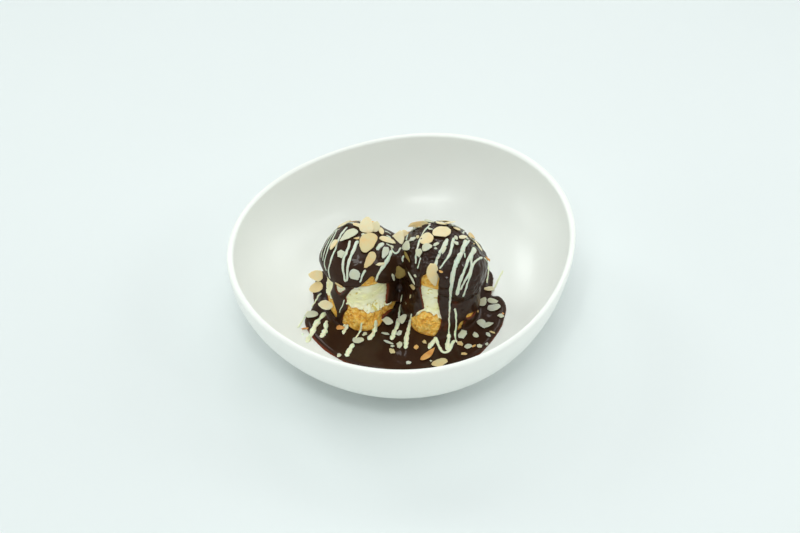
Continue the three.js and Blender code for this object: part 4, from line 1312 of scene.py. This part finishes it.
choux_finish = choux()
ice_finish = ice_cream()
dressed = [(bowl(), ["bowl"], "porcelain")]
dressed.append((sauce(), ["sauce_pool", "sauce_coat_left", "sauce_coat_right"], "chocolate"))
for bun in BUNS:
    side = bun["name"]
    dressed.append((choux_base(bun, choux_finish), ["choux_base_" + side], "choux"))
    dressed.append((ice_cream_scoop(bun, ice_finish), ["ice_cream_" + side], "ice_cream"))
    dressed.append((choux_cap(bun, choux_finish), ["choux_cap_" + side], "choux"))
dressed.append((drizzle(), [], "white_chocolate"))
dressed += [(made, [], "almond") for made in almonds()]
for made, nodes, slot in dressed:
    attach(made, "root")
    if nodes:
        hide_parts(*nodes)


# Table, light and camera

def area_light(name, place, aim, size, power, colour=(1, 1, 1), shape="RECTANGLE"):
    light = bpy.data.lights.new(name, "AREA")
    light.shape = shape
    light.size, light.size_y = size
    light.energy = power
    light.color = colour
    lamp = add_object(name, light)
    lamp.location = place
    lamp.rotation_euler = direction_angles(np.array(aim) - np.array(place))


def direction_angles(way):
    """Rotation that points a lamp's or camera's -Z along a direction, with its Y upwards."""
    return Vector(way).to_track_quat("-Z", "Y").to_euler()


TABLE = 3000  # from the middle to each side
corners = [(-TABLE, -TABLE, 0), (TABLE, -TABLE, 0), (TABLE, TABLE, 0), (-TABLE, TABLE, 0)]
table = add_mesh("table", corners, [(0, 1, 2, 3)], table_top())

LIGHT_TONE = (0.955, 1.0, 0.985)
TARGET = (0, 0, 0.03)
# Large soft lamps: place and size in metres, and power
PANELS = {
    "top_panel": ((0, 0, 1.6), (1.0, 1.0), 4.0),
    "back_left_panel": ((-1.0, 0.9, 0.9), (0.5, 0.5), 4.0),
    "back_right_panel": ((1.0, 0.9, 0.9), (0.8, 0.8), 1.8),
    "right_panel": ((1.2, 0.3, 0.7), (0.7, 0.7), 2.9),
    "left_panel": ((-1.3, 0.0, 0.5), (0.5, 0.5), 1.4),
}
for name, (place, size, power) in PANELS.items():
    area_light(name, place, TARGET, size, power, LIGHT_TONE)
# Two crossed slender lamps in front make the soft star on the left bun
STAR_PLACE = (-0.19, -0.5, 1.04)
STAR_TARGET = (-0.03, -0.015, 0.063)
area_light("star_across", STAR_PLACE, STAR_TARGET, (0.62, 0.09), 1.1, LIGHT_TONE, "ELLIPSE")
area_light("star_upright", STAR_PLACE, STAR_TARGET, (0.09, 0.8), 1.3, LIGHT_TONE, "ELLIPSE")
# Small bright lamps, for the crisp glints on wet sauce and glaze: place and power
LAMPS = [
    ((0.03, -0.6, 1.1), 1.3), ((-0.12, 0.6, 0.75), 0.6), ((0.2, 0.6, 0.75), 0.5), ((0.7, -0.3, 0.7), 0.6),
]
LAMP_SIZE = (0.2, 0.2)
LAMP_TARGET = (0, 0, 0.04)
for number, (place, power) in enumerate(LAMPS):
    area_light("lamp_%d" % number, place, LAMP_TARGET, LAMP_SIZE, power)
# Light from all round, brighter at the horizon than overhead
world = bpy.data.worlds.new("soft_white")
world.use_nodes = True
sky = world.node_tree
direction = sky.nodes.new("ShaderNodeTexCoord")
split = sky.nodes.new("ShaderNodeSeparateXYZ")
sky.links.new(direction.outputs["Generated"], split.inputs[0])
brightness = sky.nodes.new("ShaderNodeMapRange")
brightness.interpolation_type = "SMOOTHSTEP"
sky.links.new(split.outputs["Z"], brightness.inputs["Value"])
for socket, value in (("From Min", 0.0), ("From Max", 0.6), ("To Min", 0.86), ("To Max", 0.36)):
    brightness.inputs[socket].default_value = value
background = sky.nodes["Background"]
background.inputs["Color"].default_value = LIGHT_TONE + (1,)
sky.links.new(brightness.outputs[0], background.inputs["Strength"])
bpy.context.scene.world = world
bpy.context.scene.view_settings.view_transform = "Standard"

lens = bpy.data.cameras.new("camera")
lens.lens = CAMERA_LENS
lens.sensor_width = SENSOR
camera = add_object("camera", lens)
camera.location = CAMERA_PLACE * MM
camera.rotation_euler = direction_angles(CAMERA_FORWARD)
bpy.context.scene.camera = camera

bpy.context.view_layer.update()
